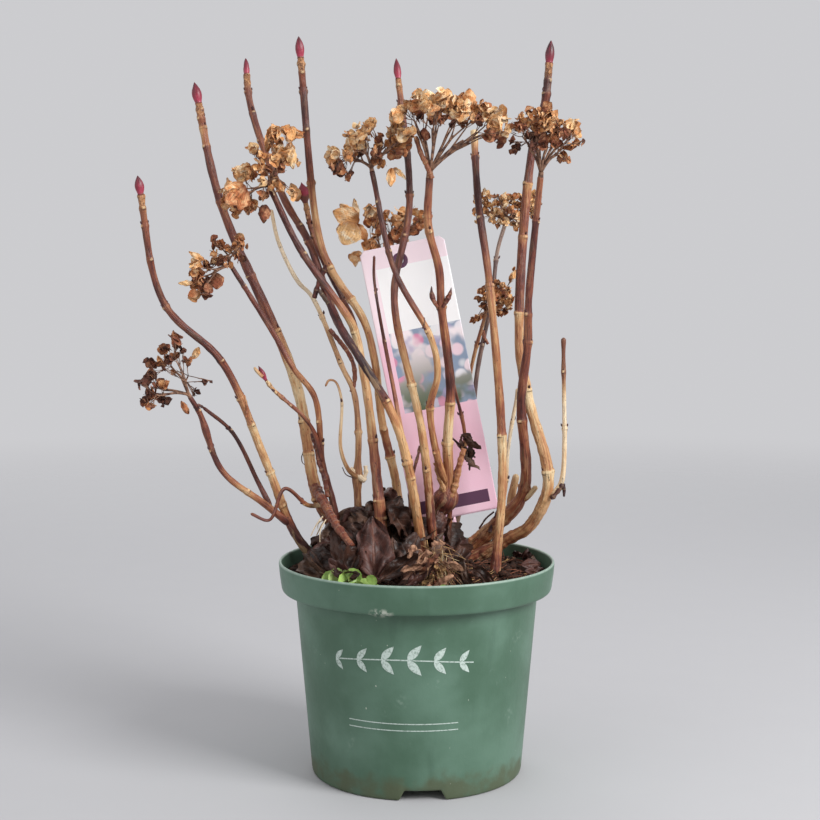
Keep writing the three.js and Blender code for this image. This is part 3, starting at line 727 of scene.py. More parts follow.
litter = {
    "middle": (-0.034, 0.014),
    "reach": (0.066, 0.060),
    "bumps": [
        ((-0.026, 0.022), 0.044, 0.020), ((-0.060, 0.006), 0.022, 0.018), ((0.004, 0.002), 0.010, 0.022),
    ],
    "edge": 0.003,
    "leaves": 58,
    "length": (0.030, 0.056),
    "share": 0.6,
    "looks": [0.62, 0.16, 0.22],
    "rows": 21,
    "cols": 13,
    "limit": 0.1075,
    "seed": 41,
    # Large leaves, one by one: root and tip in millimetres, width share, curl, roll and colour.
    "large": [
        (104, 10, 170, 96, -7, 176, 0.7, -1, -1.2, 1), (99, 28, 170, 105, 12, 176, 0.6, -0.8, -1.2, 2),
        (91, 42, 170, 103, 30, 176, 0.6, -0.8, 1, 1), (106, -8, 168, 97, -23, 174, 0.6, -1, -1.2, 1),
        (84, 52, 171, 94, 44, 176, 0.6, -0.8, -1.2, 1), (19, 14, 217, 29, 9, 196, 0.8, -0.9, -1.2, 1),
        (-33, -82, 177, -36, -49, 223, 0.56, -0.4, -0.9, 1),
        (-64, -30, 208, -58, -72, 180, 0.5, -0.6, -1.3, 0), (-12, 2, 230, -27, -16, 204, 0.62, -1, -1.7, 0),
        (-22, -6, 222, -3, -20, 198, 0.6, -1.2, 1.2, 0), (-86, -18, 188, -78, -46, 176, 0.9, -1, -1.2, 0),
        (-54, -18, 210, -30, -40, 192, 0.5, -1.2, -1.4, 0),
        (-54, 8, 216, -48, -22, 200, 0.6, -0.9, -1.1, 2), (-30, -84, 176, -2, -66, 190, 0.5, 1.2, 1.5, 0),
        (-8, -92, 174, 10, -76, 186, 0.6, 1.4, 1.9, 1), (-20, -52, 204, -14, -80, 182, 0.6, -1.4, -1.2, 0),
        (-62, -80, 176, -38, -92, 182, 0.4, 0.9, 1.6, 0), (0, -30, 204, -6, -62, 180, 0.6, -0.9, -1.4, 0),
        (26, -50, 184, 44, -70, 174, 0.5, -0.9, 1.5, 2), (30, -20, 184, 12, -50, 178, 0.6, -0.8, 1.3, 0),
        (-92, -26, 182, -82, -54, 174, 0.6, -1.2, 1.2, 2), (-44, -30, 212, -20, -34, 192, 0.5, -1.6, 1, 1),
        (44, -66, 181, 62, -78, 172, 0.5, -1, 1.2, 0), (-50, -88, 174, -66, -70, 186, 0.6, 1.2, 1.3, 1),
        (36, 6, 190, 30, -26, 176, 0.55, -1.1, 1.5, 0), (20, -8, 200, 26, -38, 180, 0.5, -1, -1.5, 2),
        (24, 30, 205, 31, 16, 180, 0.85, -0.5, 0.8, 0), (42, 28, 190, 48, 8, 174, 0.6, -1.2, -1.3, 1),
        (-46, -60, 196, -56, -84, 176, 0.7, -0.9, 1.6, 0), (-20, 14, 236, -36, 6, 214, 0.7, -1.2, 1.4, 1),
        (38, 19, 281, 45, 17, 261, 0.5, 1.3, 2, 0), (40, 20, 270, 33, 16, 279, 0.5, 1.1, -1.9, 0),
        (42, 19, 273, 51, 17, 257, 0.45, -1.1, 2, 0), (43, 19, 267, 45, 16, 247, 0.5, 1.2, -2, 2),
    ],
}


# The heap's height over the soil: a low edge plus a round bell for each bump.
def heapHeight(x, y):
    height = litter["edge"] + 0 * x
    for (bx, by), top, spread in litter["bumps"]:
        height = height + top * np.exp(-((x - bx) ** 2 + (y - by) ** 2) / (2 * spread**2))
    return height


# Under the loose leaves the heap is a closed oval mound of its height, less a little, with lumps.
def makeHeap(finish):
    below = [0.02, 0.5, 0.9, 1.0]
    share = np.concatenate([below, np.linspace(0.985, 0.02, 30)])[:, None]
    around = 72
    angle = np.arange(around)[None, :] * turn / around
    x = litter["middle"][0] + litter["reach"][0] * share * np.cos(angle) * 0.94
    y = litter["middle"][1] + litter["reach"][1] * share * np.sin(angle) * 0.94
    flat = np.stack([x, y, 0 * x], axis=-1)
    broad = 1 + 0.22 * lumps(flat, 0.016, 31)
    height = heapHeight(x, y) * 0.86 * broad + 0.0015 * lumps(flat, 0.006, 32)
    height = np.maximum(height * smooth(1 - share, -0.02, 0.12), 0.0005)
    level = np.where(np.arange(len(share))[:, None] < len(below), ground - 0.004, ground + height)
    shape = Shape().add(np.stack([x, y, level], axis=-1)[None])
    shape.piece("litter_heap", [finish], "leaf_litter", ["leaf_litter"])


# Whole dead leaves hang and lie on the heap from even golden-angle places, tips down its slope,
# curled and folded, with the large ones at their own places in front. None reaches past limit, the
# pot's wall.
def makeLeaves(finishes):
    dice = np.random.default_rng(litter["seed"])
    count = litter["leaves"]
    k = np.arange(count)
    share = np.sqrt((k + 0.5) / count)
    angle = k * math.pi * (3 - math.sqrt(5))
    outward = np.stack([np.cos(angle), np.sin(angle), 0 * angle], axis=-1)
    x = litter["middle"][0] + outward[:, 0] * litter["reach"][0] * share * 0.8
    y = litter["middle"][1] + outward[:, 1] * litter["reach"][1] * share * 0.8
    step = 0.002
    slope = np.stack([heapHeight(x + step, y) - heapHeight(x - step, y),
                      heapHeight(x, y + step) - heapHeight(x, y - step)], axis=-1) / (2 * step)
    normal = unit(np.concatenate([-slope, np.ones((count, 1))], axis=1))
    shake = dice.normal(size=(count, 3))
    downhill = np.concatenate([-slope, 0 * slope[:, :1]], axis=1)
    along = unit(outward * 0.6 + downhill + shake * [0.55, 0.55, 0.15])
    along = unit(along - (along * normal).sum(axis=1, keepdims=True) * normal * 0.8 + shake[:, ::-1] * 0.25)
    face = unit(normal + dice.normal(size=(count, 3)) * 0.7)
    length = dice.uniform(*litter["length"], count)
    centre = np.stack([x, y, ground + heapHeight(x, y) + dice.uniform(-0.002, 0.006, count)], axis=-1)
    large = np.array(litter["large"]) * ([0.001] * 6 + [1] * 4)
    reach = np.linalg.norm(large[:, 3:6] - large[:, :3], axis=1)
    out = unit(large[:, :3] * [1, 1, 0] - [*litter["middle"], 0])
    root = np.concatenate([centre - along * length[:, None] * 0.5, large[:, :3]])
    along = np.concatenate([along, large[:, 3:6] - large[:, :3]])
    face = np.concatenate([face, out + [0, -0.7, 0.5]])
    length = np.concatenate([length, reach * 1.12])
    wide = np.concatenate([np.full(count, litter["share"]), large[:, 6]]) * length
    bend = np.concatenate([dice.uniform(-2.1, 1.0, count), large[:, 7]])
    roll = np.concatenate([dice.uniform(-2.2, 1.8, count), large[:, 8]])
    rough = np.concatenate([np.full(count, 0.0028), reach * 0.07])
    rows, cols = litter["rows"], litter["cols"]
    grids = blades(root, along, face, length, wide, bend, roll, rough, litter["seed"] + 1, rows, cols,
                   shoulder=0.68, ragged=0.06, folded=0.3)
    spot = grids.reshape(-1, 3)
    grids = grids + (lumps(spot, 0.008, 51) * 0.0007).reshape(grids.shape[:3])[..., None] * [0.5, -1, 0.6]
    grids[..., 2] = np.maximum(grids[..., 2], soil["top"] + 0.0008)
    out = np.linalg.norm(grids[..., :2], axis=-1, keepdims=True)
    grids[..., :2] *= np.minimum(1, litter["limit"] / out)
    looks = dice.choice(len(finishes), count, p=litter["looks"])
    looks = np.concatenate([looks, large[:, 9].astype(int)])
    shape = Shape().add(grids, tube=False, looks=looks, marks=bladeMarks(rows, cols))
    shape.piece("dead_leaves", finishes, "leaf_litter")


deadLeaves = [
    deadLeafFinish("leaf_chocolate", "1c0f0b", "4f3023", "6b4735"),
    deadLeafFinish("leaf_red", "331a15", "5a352c", "7e5546"),
    deadLeafFinish("leaf_grey", "2a1912", "604434", "82624c"),
]
makeHeap(deadLeaves[0])
makeLeaves(deadLeaves)
print("leaf litter made")

# Small green weeds at the rim and between the litter: round leaflets, each a shallow cup.
sprouts = {
    # Each patch: its middle on the soil and its height, its spread, its leaflets and their size.
    "patches": [
        ((-0.060, -0.092, 0.014), 0.010, 10, 0.0125), ((-0.046, -0.096, 0.009), 0.009, 8, 0.009),
        ((-0.031, -0.100, 0.006), 0.006, 4, 0.0065), ((0.020, -0.099, 0.006), 0.008, 8, 0.005),
        ((0.062, -0.082, 0.005), 0.008, 9, 0.0045),
    ],
    "limit": 0.101,
    "greens": ("93b85a", "abc973", "7ba24a"),
    "pale": "c3d47c",
    "seed": 77,
}


# Leaflets on thin stalks at seeded places in each patch: blades a quarter wider than long, with a
# blunt outline.
def makeSprouts():
    finishes = []
    for k, colour in enumerate(sprouts["greens"]):
        finish = Finish(f"sprout_green_{k}", {"Roughness": 0.45, "Subsurface Weight": 0.1})
        tone = finish.noise(0.003, 3)
        green = finish.blend(tone * 0.6, colour, sprouts["pale"])
        finishes.append(finish.feed(colour=green, normal=finish.bump(tone, 0.0003)))
    dice = np.random.default_rng(sprouts["seed"])
    shape = Shape()
    for (x, y, high), spread, count, size in sprouts["patches"]:
        root = np.stack([dice.normal(x, spread / 2, count), dice.normal(y, spread / 4, count),
                         soil["top"] + high * dice.uniform(0.4, 1.2, count)], axis=-1)
        out = np.linalg.norm(root[:, :2], axis=1, keepdims=True)
        root[:, :2] *= np.minimum(1, sprouts["limit"] / out)
        along = dice.normal(size=(count, 3)) * [1, 0.3, 0.6] + [0, 0, 0.4]
        face = np.array([0, -1.0, 0.6]) + dice.normal(size=(count, 3)) * 0.3
        length = size * dice.uniform(0.7, 1.2, count)
        grids = blades(root, along, face, length, length * 1.25, 0.35, 0.3, size * 0.02, 5, 9, 9,
                       shoulder=0.9, ragged=0.03, folded=0.08, full=0.42)
        shape.add(grids, tube=False, looks=dice.integers(0, 3, count))
        foot = root - [0, 0, high + 0.002]
        shape.add(twigs(foot, (foot + root) / 2 + 0.0008, root, np.full((count, 2), 0.0004), 4, 4), looks=0)
    shape.piece("green_sprouts", finishes, "leaf_litter")


makeSprouts()
print("sprouts made")


# Care label

label = {
    "width": 0.074,
    "height": 0.240,
    "thick": 0.001,
    "corner": 0.004,
    "holeAt": (-0.004, 0.226),
    "hole": 0.003,
    "tongueWidth": 0.022,
    "tongueShift": -0.012,
    "tongue": 0.060,
    "reach": 0.041,
    "lean": 2.5,
    "turn": 11.5,
    "foot": (0.043, 0.042),
    "bow": 0.0015,
    "step": 0.002,
    "margin": -0.026,
    "panel": (0.166, 0.222),
    "picture": (0.096, 0.166),
    "bar": (0.0075, 0.0185),
    "barAcross": (-0.03, 0.031),
    "pink": "fac2d8",
    "palePink": "fff3f7",
    "white": "ffffff",
    "plum": "5b3350",
    "rose": "d4679a",
    "lilac": "a7a0c4",
    "mist": "8fa0b8",
    "leaf": "5c6b52",
}


def labelFinish():
    finish = Finish("label_card", {"Specular IOR Level": 0.5, "Coat Weight": 0.25, "Coat Roughness": 0.2})
    across, level = finish.mark("across"), finish.mark("level")
    wash = finish.noise(0.03, 2)
    pale = finish.largest(wash * 0.4, finish.rise(level, 0.15, 0.17) * 0.8)
    pink = finish.blend(pale, label["pink"], label["palePink"])
    bloom = {"Vector": finish.place(), "Scale": 90.0, "Randomness": 0.75}
    petal = finish.node("TexVoronoi", {"feature": "F1"}, bloom, out="Distance")
    sort = finish.node("TexVoronoi", {"feature": "F1"}, bloom, out="Color")
    kind = finish.node("SeparateColor", {}, {0: sort}, out="Red")
    tints = [(0.0, "rose"), (0.3, "palePink"), (0.5, "lilac"), (0.68, "white"), (0.86, "mist")]
    dots = finish.ramp(kind, [(place, label[name]) for place, name in tints])
    garden = finish.blend(finish.rise(petal, 0.42, 0.62), dots, label["mist"])
    shade = finish.blend(finish.rise(level, 0.098, 0.166), label["leaf"], label["palePink"])
    picture = finish.blend(finish.rise(finish.noise(0.02, 2), 0.42, 0.6), garden, shade)
    holeX, holeZ = label["holeAt"]
    away = ((across - holeX) ** 2 + (level - holeZ) ** 2) ** 0.5
    card = finish.coats(pink, [
        ((across > label["margin"]) * between(level, *label["panel"]), label["white"]),
        ((across > label["margin"]) * between(level, *label["picture"]), picture),
        (between(across, *label["barAcross"]) * between(level, *label["bar"]), label["plum"]),
        (away < 0.0068, label["plum"]),
    ])
    grain = finish.noise(0.0012, 3)
    return finish.feed(colour=card, roughness=0.34 + grain * 0.08, normal=finish.bump(grain, 0.00006))


# Stands flat card drawings up where the label is: leaned back, turned over, set on the soil.
def standLabel(x, y, z):
    lean, over = math.radians(label["lean"]), math.radians(label["turn"])
    back = y * math.cos(lean) + z * math.sin(lean)
    up = -y * math.sin(lean) + z * math.cos(lean)
    right = x * math.cos(over) - up * math.sin(over)
    high = x * math.sin(over) + up * math.cos(over)
    return np.stack([right + label["foot"][0], back + label["foot"][1], high + ground], axis=-1)


# The card is a grid, bowed a little across, whose squares round the hole are left out and whose
# points next to it are drawn in to a circle. The tongue is a second grid under it.
def makeLabel():
    half, height, step = label["width"] / 2, label["height"], label["step"]
    columns = np.concatenate([[-half], np.arange(-half + 0.001, half, step), [half]])
    rows = np.arange(0, height + step / 2, step)
    z, x = np.meshgrid(rows, columns, indexing="ij")
    trim = np.clip(z - (height - label["corner"]), 0, label["corner"])
    x = x * (1 - trim / half)
    holeX, holeZ = label["holeAt"]
    dx, dz = x - holeX, z - holeZ
    square = np.maximum(np.abs(dx), np.abs(dz))
    onEdge = np.abs(square - 2 * step) < step / 4
    away = np.hypot(dx, dz)
    pull = np.where(onEdge, label["hole"] / np.maximum(away, 1e-9), 1)
    x, z = holeX + dx * pull, holeZ + dz * pull
    inside = square < 1.5 * step
    bow = lambda across: label["bow"] * (1 - (across / half) ** 2)
    lift = label["reach"]
    shape = Shape()
    marks = {"across": x[None], "level": z[None]}
    shape.add(standLabel(x, bow(x), z + lift)[None], tube=False, marks=marks)
    quads = shape.quads[0]
    hollow = inside.ravel()[quads].any(axis=1)
    shape.quads[0], shape.quadLooks[0] = quads[~hollow], shape.quadLooks[0][~hollow]
    width = label["tongueWidth"]
    tx, tz = np.meshgrid(np.linspace(-0.5, 0.5, 9) * width, np.linspace(-label["tongue"], 0, 31))
    narrow = 1 - 0.6 * smooth(-tz, label["tongue"] - 0.02, label["tongue"])
    tx = tx * narrow + label["tongueShift"]
    marks = {"across": tx[None], "level": tz[None]}
    shape.add(standLabel(tx, bow(tx), np.maximum(tz + lift, -0.004))[None], tube=False, marks=marks)
    card = shape.piece("label_card", [labelFinish()], "care_label", ["care_label"])
    solid = card.modifiers.new("thickness", "SOLIDIFY")
    solid.thickness = label["thick"] * 0.8
    solid.offset = 0


makeLabel()
print("label made")


# Canes

# Each cane runs from its foot on the soil, or from the cane it grows on, along its route to its tip,
# all in millimetres. thick is its diameter at foot and tip. tones run from its tip to its foot, from
# young dark bark (0) to old straw bark (1), and bark is its kind where that isn't the red-brown one.
# joints are its leaf joints, measured from the tip, and knots its swellings, measured from the foot,
# with their size. bud is its bud's width and length as shares of the usual one, with a shift of its
# colour, and paleUnder is how much paler it is just under a joint.
canes = {
    "cane_left_outer": {
        "thick": (8.5, 5), "end": "bud", "bud": (1.12, 0.86),
        # Its last two tones, below the darkest bark on the ramp, paint the shade that lies over its foot in
        # the litter.
        "tones": [0.3, 0.25, 0.2, 0.1, 0.05, 0.1, 0.2, 0.65, 0.7, 0.65, 0.5, -0.2, -0.4],
        "joints": [18, 27, 41, 68, 108, 171, 208, 232, 278, 308],
        "foot": (-81, 26), "route": [
            (-102, 22, 193), (-127, 9, 260), (-159, -15, 343), (-203, -34, 392), (-220, -50, 494),
        ],
    },
    "cane_left_low": {
        "on": "cane_left_outer", "thick": (7, 4), "end": "head",
        "tones": [0.3, 0.1, 0.15, 0.3, 0.75, 0.6, 0.2],
        "joints": [12, 48, 97], "knots": [(115, 1.5)],
        "route": [(-107.5, 20, 204), (-128, 8, 223), (-161, -8, 253), (-177, -20, 301), (-184, -25, 315)],
    },
    "twig_left_low": {
        "on": "cane_left_low", "thick": (4.7, 3),
        "tones": [0.2, 0.1, 0.15, 0.3, 0.2, 0.3],
        "route": [(-123, 12, 220), (-134, 18, 240), (-155, 17, 282), (-178, 8, 304)],
    },
    "cane_left_inner": {
        "thick": (13, 6), "end": "bud", "bud": (1.05, 1.05),
        "tones": [0.45, 0.12, 0, 0.85, 0.6, 0],
        "joints": [21, 29, 37, 53, 100, 168, 219, 300, 328, 367],
        "foot": (-44, 46), "route": [(-82, 36, 218), (-103, 34, 324), (-166, 37, 477), (-187, 43, 575)],
    },
    "cane_left_flower": {
        "thick": (7, 4), "end": "head",
        "tones": [0.1, 0.05, 0.4, 0.35, 0.2, 0],
        "joints": [17, 148, 167, 196],
        "foot": (-61, 20), "route": [
            (-71, 16, 225), (-79, 14, 255), (-85, 6, 313), (-102, 1, 337), (-118, -2, 366),
            (-150, -15, 420),
        ],
    },
    "twig_left_bud": {
        "on": "cane_left_flower", "thick": (4.5, 2.5), "end": "bud", "bud": (1.45, 0.8),
        "tones": [0.85, 0.5, 0.45, 0.4, 0.35, 0.3],
        "route": [(-79, 13, 257), (-85, 7, 282), (-94, 0, 297), (-121, -10, 324), (-131, -14, 343)],
    },
    "twig_crooked": {
        "on": "cane_left_inner", "thick": (4.5, 2.5),
        "tones": [0.3, 0.2, 0.1, 0.25, 0.5, 1.1],
        "route": [(-81, 34, 218), (-92, 14, 221), (-110, -2, 237), (-122, -10, 212), (-137, -14, 218)],
    },
    "cane_centre_dark": {
        "bark": "dark", "thick": (9, 5.5), "end": "bud", "bud": (0.72, 0.85),
        "tones": [0.3, 0.3, 0.4, 0.35, 0.25, 0.05, 0.95, 0.8, 0.5],
        "joints": [16, 32, 51, 77, 161, 177, 334, 388, 401],
        "foot": (8, 0), "route": [
            (-10, -23, 272), (-23, -26, 308), (-60, -18, 368), (-66, -4, 378), (-73, 6, 394),
            (-90, 15, 442), (-111, 27, 478), (-141, 52, 558), (-146, 62, 601),
        ],
    },
    "cane_centre_flower": {
        "thick": (11, 5), "end": "head",
        "tones": [0.15, 0, 0.1, 0.85, 0.8, 0.75, 0.45, 0.35, 0],
        "joints": [57, 133, 225, 275, 290],
        "foot": (-25, -10), "route": [
            (-42, -6, 324), (-51, -7, 368), (-55, -13, 378), (-95, -19, 436), (-117, -23, 482),
        ],
    },
    "cane_centre_pale": {
        "bark": "pale", "thick": (8, 3),
        "tones": [0.85, 1.05, 1, 0.35, 0.4, 0.25, 0.1, 0.1, 0],
        "knots": [(78, 1.6)],
        "foot": (-46, 22), "route": [
            (-50, 19, 233), (-49, 16, 284), (-53, 18, 317), (-62, 21, 336), (-88, 27, 396), (-100, 28, 409),
            (-116, 28, 442), (-122, 28, 469),
        ],
    },
    "cane_centre_tall": {
        "thick": (8, 5.5), "end": "bud",
        "tones": [0.5, 0, 0.05, 0.7, 0.55, 0.5, 0.4, 0.45, 0.5, 0.5, 0.3, 0.1],
        "joints": [21, 28, 43, 74, 117, 188, 220, 335, 361],
        "foot": (-11, 34), "route": [
            (-17, 28, 236), (-29, 17, 291), (-35, 5, 344), (-44, 6, 377), (-71, 8, 419), (-81, 6, 447),
            (-96, 0, 607),
        ],
    },
    "cane_short_bud": {
        # Its bud's colour shift of -0.3 makes it pinker than the other buds: painted light on a bud that
        # stands in the shade of a head.
        "on": "cane_centre_flower", "thick": (5, 4), "end": "bud", "bud": (2.1, 1, -0.3),
        "tones": [0.7, 0.3, 0.1, -0.1, 0.3, 0.8],
        "route": [(-49, -6, 360), (-53, 10, 377), (-59, 18, 389), (-85, 24, 442), (-96, 22, 491)],
    },
    "twig_label_front": {
        "on": "cane_centre_dark", "thick": (4.5, 2.2),
        "tones": [0, 0, 0.1, 0.4, 0.55, 0.6],
        "route": [(-11, -23, 278), (-17, -10, 310), (-35, 2, 410), (-35, 2, 430)],
    },
    "cane_label_left": {
        "thick": (8.5, 5), "end": "bud", "bud": (1.05, 1.08),
        "tones": [0.5, 0.1, 0.15, 0.15, 0.5, 0.8, 0.7, 0.3, 0.45],
        "joints": [22, 38, 82, 118, 152, 278, 351],
        "foot": (16, 8), "route": [
            (4, -6, 287), (-17, -8, 379), (-18, -4, 406), (-6, 8, 472), (-17, 40, 594),
        ],
    },
    "cane_mid_flower": {
        "thick": (11, 6), "end": "head",
        "tones": [0.1, 0.6, 0.15, 0.6, 0.15, 0.95, 0.5, 0.15, 0.3],
        "joints": [30, 42, 106, 188, 223], "knots": [(52, 1.35), (64, 2.3)],
        "foot": (6, 30), "route": [
            (18, 23, 212), (26, 19, 229), (26, 8, 277), (28, 0, 323), (20, -16, 389), (18, -22, 418),
            (9, -31, 454), (10, -38, 491),
        ],
    },
    "cane_label_flower": {
        "on": "cane_mid_flower", "thick": (7, 4.2), "end": "head",
        "tones": [-0.05, 0.1, 0.15, 0.1, 0.65, 0.75, 0.4, 0.35, 0.4],
        "joints": [24, 65, 136, 204, 244],
        "route": [
            (26, 18, 237), (19, 7, 256), (11, -10, 305), (17, -19, 333), (12, -25, 362), (-18, -28, 418),
            (-36, -24, 497),
        ],
    },
    "twig_mid_bud": {
        "on": "cane_mid_flower", "thick": (5, 2.5),
        "tones": [0.4, 0.1, 0.3, 0.5, 0.2, 0.05],
        "route": [(27, 18, 237), (35, 25, 251), (41, 27, 275), (31, 12, 324)],
    },
    "cane_mid_prop": {
        "thick": (5.5, 4),
        "tones": [-0.2, -0.1, 0.1, 0.3, 0.2, 0.2],
        "foot": (25, 36), "route": [(28, 30, 204), (29, 21, 233)],
    },
    "cane_right_front": {
        "thick": (8, 6), "end": "cut",
        "tones": [0.8, 0.05, 0.15, 0.75, 0.75, 0.65, 0.6, 0.5, 0.1],
        "joints": [33, 88, 145, 270],
        "foot": (66, 0), "route": [(72, 7, 252), (60, -1, 406), (51, 14, 476), (48, 40, 544)],
    },
    "cane_right_tall": {
        "thick": (12, 6.5), "end": "bud", "bud": (0.9, 1.1, 0.34), "paleUnder": 0.45,
        "tones": [0.35, 0.05, 0.2, 0.25, 0.25, 0.35, 0.7, 0.55, 0.55, 0.45, 0.3],
        "joints": [31, 42, 52, 119, 164, 229, 295, 366],
        "foot": (50, 61), "route": [
            (78, 49, 185), (97, 37, 199), (112, 24, 237), (94, 27, 313), (87, 29, 360), (98, 41, 521),
            (107.5, 42, 553), (113, 44, 609),
        ],
    },
    "cane_right_flower": {
        "thick": (13, 5), "end": "head",
        "tones": [0.1, 0.15, 0.3, 0.25, 0.25, 0.25, 0.25, 0.55, 0.6],
        "joints": [35, 112, 136, 205, 269], "knots": [(30, 1.2), (52, 1.35), (70, 1.2)],
        "foot": (44, 77), "route": [
            (63, 65, 189), (92, 42, 227), (88, 17, 310), (92, 4, 356), (92, -4, 394), (99, -27, 492),
        ],
    },
    "cane_right_stub": {
        "on": "cane_right_flower", "thick": (8.5, 6),
        "tones": [1, 0.95, 0.95, 0.95, 0.9, 0.7],
        "route": [(82, 53, 209), (83, 55, 222), (87, 54, 242)],
    },
    "cane_right_spur": {
        "on": "cane_right_flower", "thick": (5.5, 4.2),
        "tones": [1, 1, 1, 0.9, 0.6, 0.2],
        "route": [(92, 44, 220), (98, 38, 227), (103, 35, 234)],
    },
    "cane_right_dry": {
        "bark": "pale", "thick": (5, 3),
        "tones": [0.9, 0.9, 1.1, 0.45, 0.35, 0.2],
        "knots": [(154, 1.6), (148, 0.8)],
        "foot": (67, 75), "route": [(78, 68, 226), (80, 62, 262), (88, 52, 317)],
    },
    "twig_right_edge": {
        "bark": "pale", "on": "cane_right_tall", "thick": (5.2, 2.8),
        "tones": [0, 0.05, 0.3, 0.95, 0.95, 0.95, 0.9, 0.85, 0.4],
        "joints": [28, 76, 127], "knots": [(140, 1.5), (115, 1.3)],
        "route": [(111, 26, 226), (118, 22, 231), (123, 21, 240), (123, 16, 362)],
    },
    "cane_back_flower": {
        "bark": "grey", "thick": (6, 3.5), "end": "head",
        "tones": [0.2, 0.2, 0.2, 0.2, 0.2, 0.2],
        "foot": (32, 94), "route": [
            (48, 86, 268), (54, 80, 331), (66, 76, 393), (71, 77, 436), (77, 78, 457),
        ],
    },
    "cane_back_low": {
        "thick": (5.5, 3), "end": "head",
        "tones": [0.6, 0.6, 0.3, 0.5, 0.2, 0.1],
        "foot": (22, 99), "route": [(41, 88, 277), (49, 76, 336), (60, 60, 381)],
    },
    "cane_behind_label": {
        "thick": (6, 3.5), "end": "head",
        "tones": [0.4, 0.4, 0.4, 0.4, 0.3, 0.1],
        "foot": (-4, 96), "route": [(-7, 94, 268), (-28, 90, 414)],
    },
    "twig_hooked": {
        "bark": "pale", "on": "cane_centre_pale", "thick": (4.5, 1.8),
        "tones": [0.3, 0.6, 0.85, 0.65, 0.4, 0.25],
        "route": [
            (-49, 18, 243), (-57, 6, 252), (-63, -3, 271), (-62, -8, 312), (-67, -10, 327), (-72, -11, 328),
            (-75, -12, 323),
        ],
    },
}


barks = {
    "red": ["401a16", "653024", "874b32", "a87149", "c59868", "dcc196"],
    "dark": ["2e1213", "4c2220", "723c2c", "965a39", "b67e4e", "d0a271"],
    "pale": ["6f4230", "956545", "b5885f", "cfaa80", "dfc39c", "ebd6b6"],
    "grey": ["3b2a28", "5a4441", "7b6259", "9a8275", "b8a294", "d6c6b8"],
}
bark = {
    "green": 0.015,
    "joint": (0.040, 0.078),
    "nearTip": 0.0075,
    "sides": 18,
    "step": 0.0012,
    "swell": 0.105,
    "scar": 0.30,
    "groove": 0.07,
    "paleUnder": 0.15,
    "kink": 0.0006,
    "sunk": 0.007,
    "pale": "d2b084",
    "stain": "3c211a",
    "cream": "dcbd8e",
    "tipColour": "bd8a5c",
    "speck": "211210",
}


# Bark: a ramp over the cane's own tone mark, shifted by long streaks and patches that follow the
# cane, with cream leaf scars and a dark line under them, flakes on the old wood, dark stains and
# specks, and scuffed tan bark just under a tip bud.
def barkFinish(kind):
    finish = Finish("bark_" + kind, {"Specular IOR Level": 0.5})
    marks = ("tone", "ring", "under", "old", "tip", "roundX", "roundY", "far")
    tone, ring, under, old, tip, roundX, roundY, far = (finish.mark(name) for name in marks)
    skin = finish.node("CombineXYZ", {}, {"X": roundX, "Y": roundY, "Z": far})
    streak = finish.noise(0.0016, 5, where=finish.stretched(skin, (1, 1, 0.075)))
    thread = finish.noise(0.0007, 3, where=finish.stretched(skin, (1, 1, 0.10)))
    patch = finish.noise(0.007, 5, where=finish.stretched(skin, (1, 1, 0.42)))
    fine = finish.noise(0.0011, 3, (1, 1, 0.35))
    shift = (patch - 0.5) * 0.7 + (streak - 0.5) * 0.9 + (thread - 0.5) * 0.35
    base = finish.ramp(tone + shift, list(zip(np.linspace(0, 1, 6), barks[kind])))
    lines = finish.rise(streak * 0.5 + thread * 0.5, 0.55, 0.66)
    flaky = finish.noise(0.0045, 6, where=finish.stretched(skin, (1, 1, 0.25)))
    flakes = finish.rise(flaky, 0.53, 0.6) * old
    scuffs = finish.rise(finish.noise(0.0023, 4, (1, 1, 0.7)), 0.42, 0.6)
    broken = finish.rise(fine + patch * 0.3, 0.48, 0.68)
    specks = finish.rise(finish.noise(0.0015, 1, (1, 1, 0.6)), 0.69, 0.75)
    colour = finish.coats(base, [
        (lines * 0.45, bark["stain"]),
        (flakes * 0.42, bark["pale"]),
        (tip * (0.3 + scuffs * 0.5), bark["tipColour"]),
        (finish.rise(under, 0.3, 0.9) * 0.85, bark["stain"]),
        (finish.rise(ring, 0.25, 0.8) * (0.32 + broken * 0.62), bark["cream"]),
        (specks * 0.7, bark["speck"]),
    ])
    roughness = 0.33 + old * 0.2 + flakes * 0.15 + streak * 0.18
    height = streak * 1.6 + thread * 0.8 + flakes * 0.9 + fine * 0.5 + scuffs * tip * 1.5
    return finish.feed(colour=colour, roughness=roughness, normal=finish.bump(height, 0.0007, 0.9))


barkFinishes = {kind: barkFinish(kind) for kind in barks}
curves = {}
jointsOf = {}


def slotOf(kind):
    return "pale_cane" if kind == "pale" else "dark_cane"


def caneRoute(spec):
    route = metres(spec["route"])
    if "foot" in spec:
        route = np.vstack([[*metres(spec["foot"]), ground], route])
    return smoothRoute(route)


# The radius at a distance along a cane: a taper with the 0.6 power of the way, times a flare at a
# rooted foot, times one plus its knots' bells.
def caneRadius(spec, at, length):
    share = np.clip(at / length, 0, 1) ** 0.6
    atFoot, atTip = metres(spec["thick"])
    radius = (atFoot * (1 - share) + atTip * share) / 2
    if "foot" in spec:
        radius = radius * (1 + 0.25 * np.exp(-np.maximum(at, 0) / 0.012))
    swell = 1
    for where, size in spec.get("knots", []):
        swell = swell + (size - 1) * bell(at - metres(where), 0.009)
    return radius * swell


# Leaf joints lie at the cane's own places, in millimetres from its tip, or else every few
# centimetres down from the tip, crowded together under a bud.
def jointPlaces(spec, woody, length, dice):
    if "joints" in spec:
        return length - metres(spec["joints"])
    budded = spec.get("end") == "bud"
    places = []
    at = woody - (0.004 if budded else 0.030)
    while at > 0.025:
        places.append(at)
        crowded = budded and woody - at < 0.020
        at -= bark["nearTip"] * dice.uniform(0.8, 1.3) if crowded else dice.uniform(*bark["joint"])
    return np.array(places)


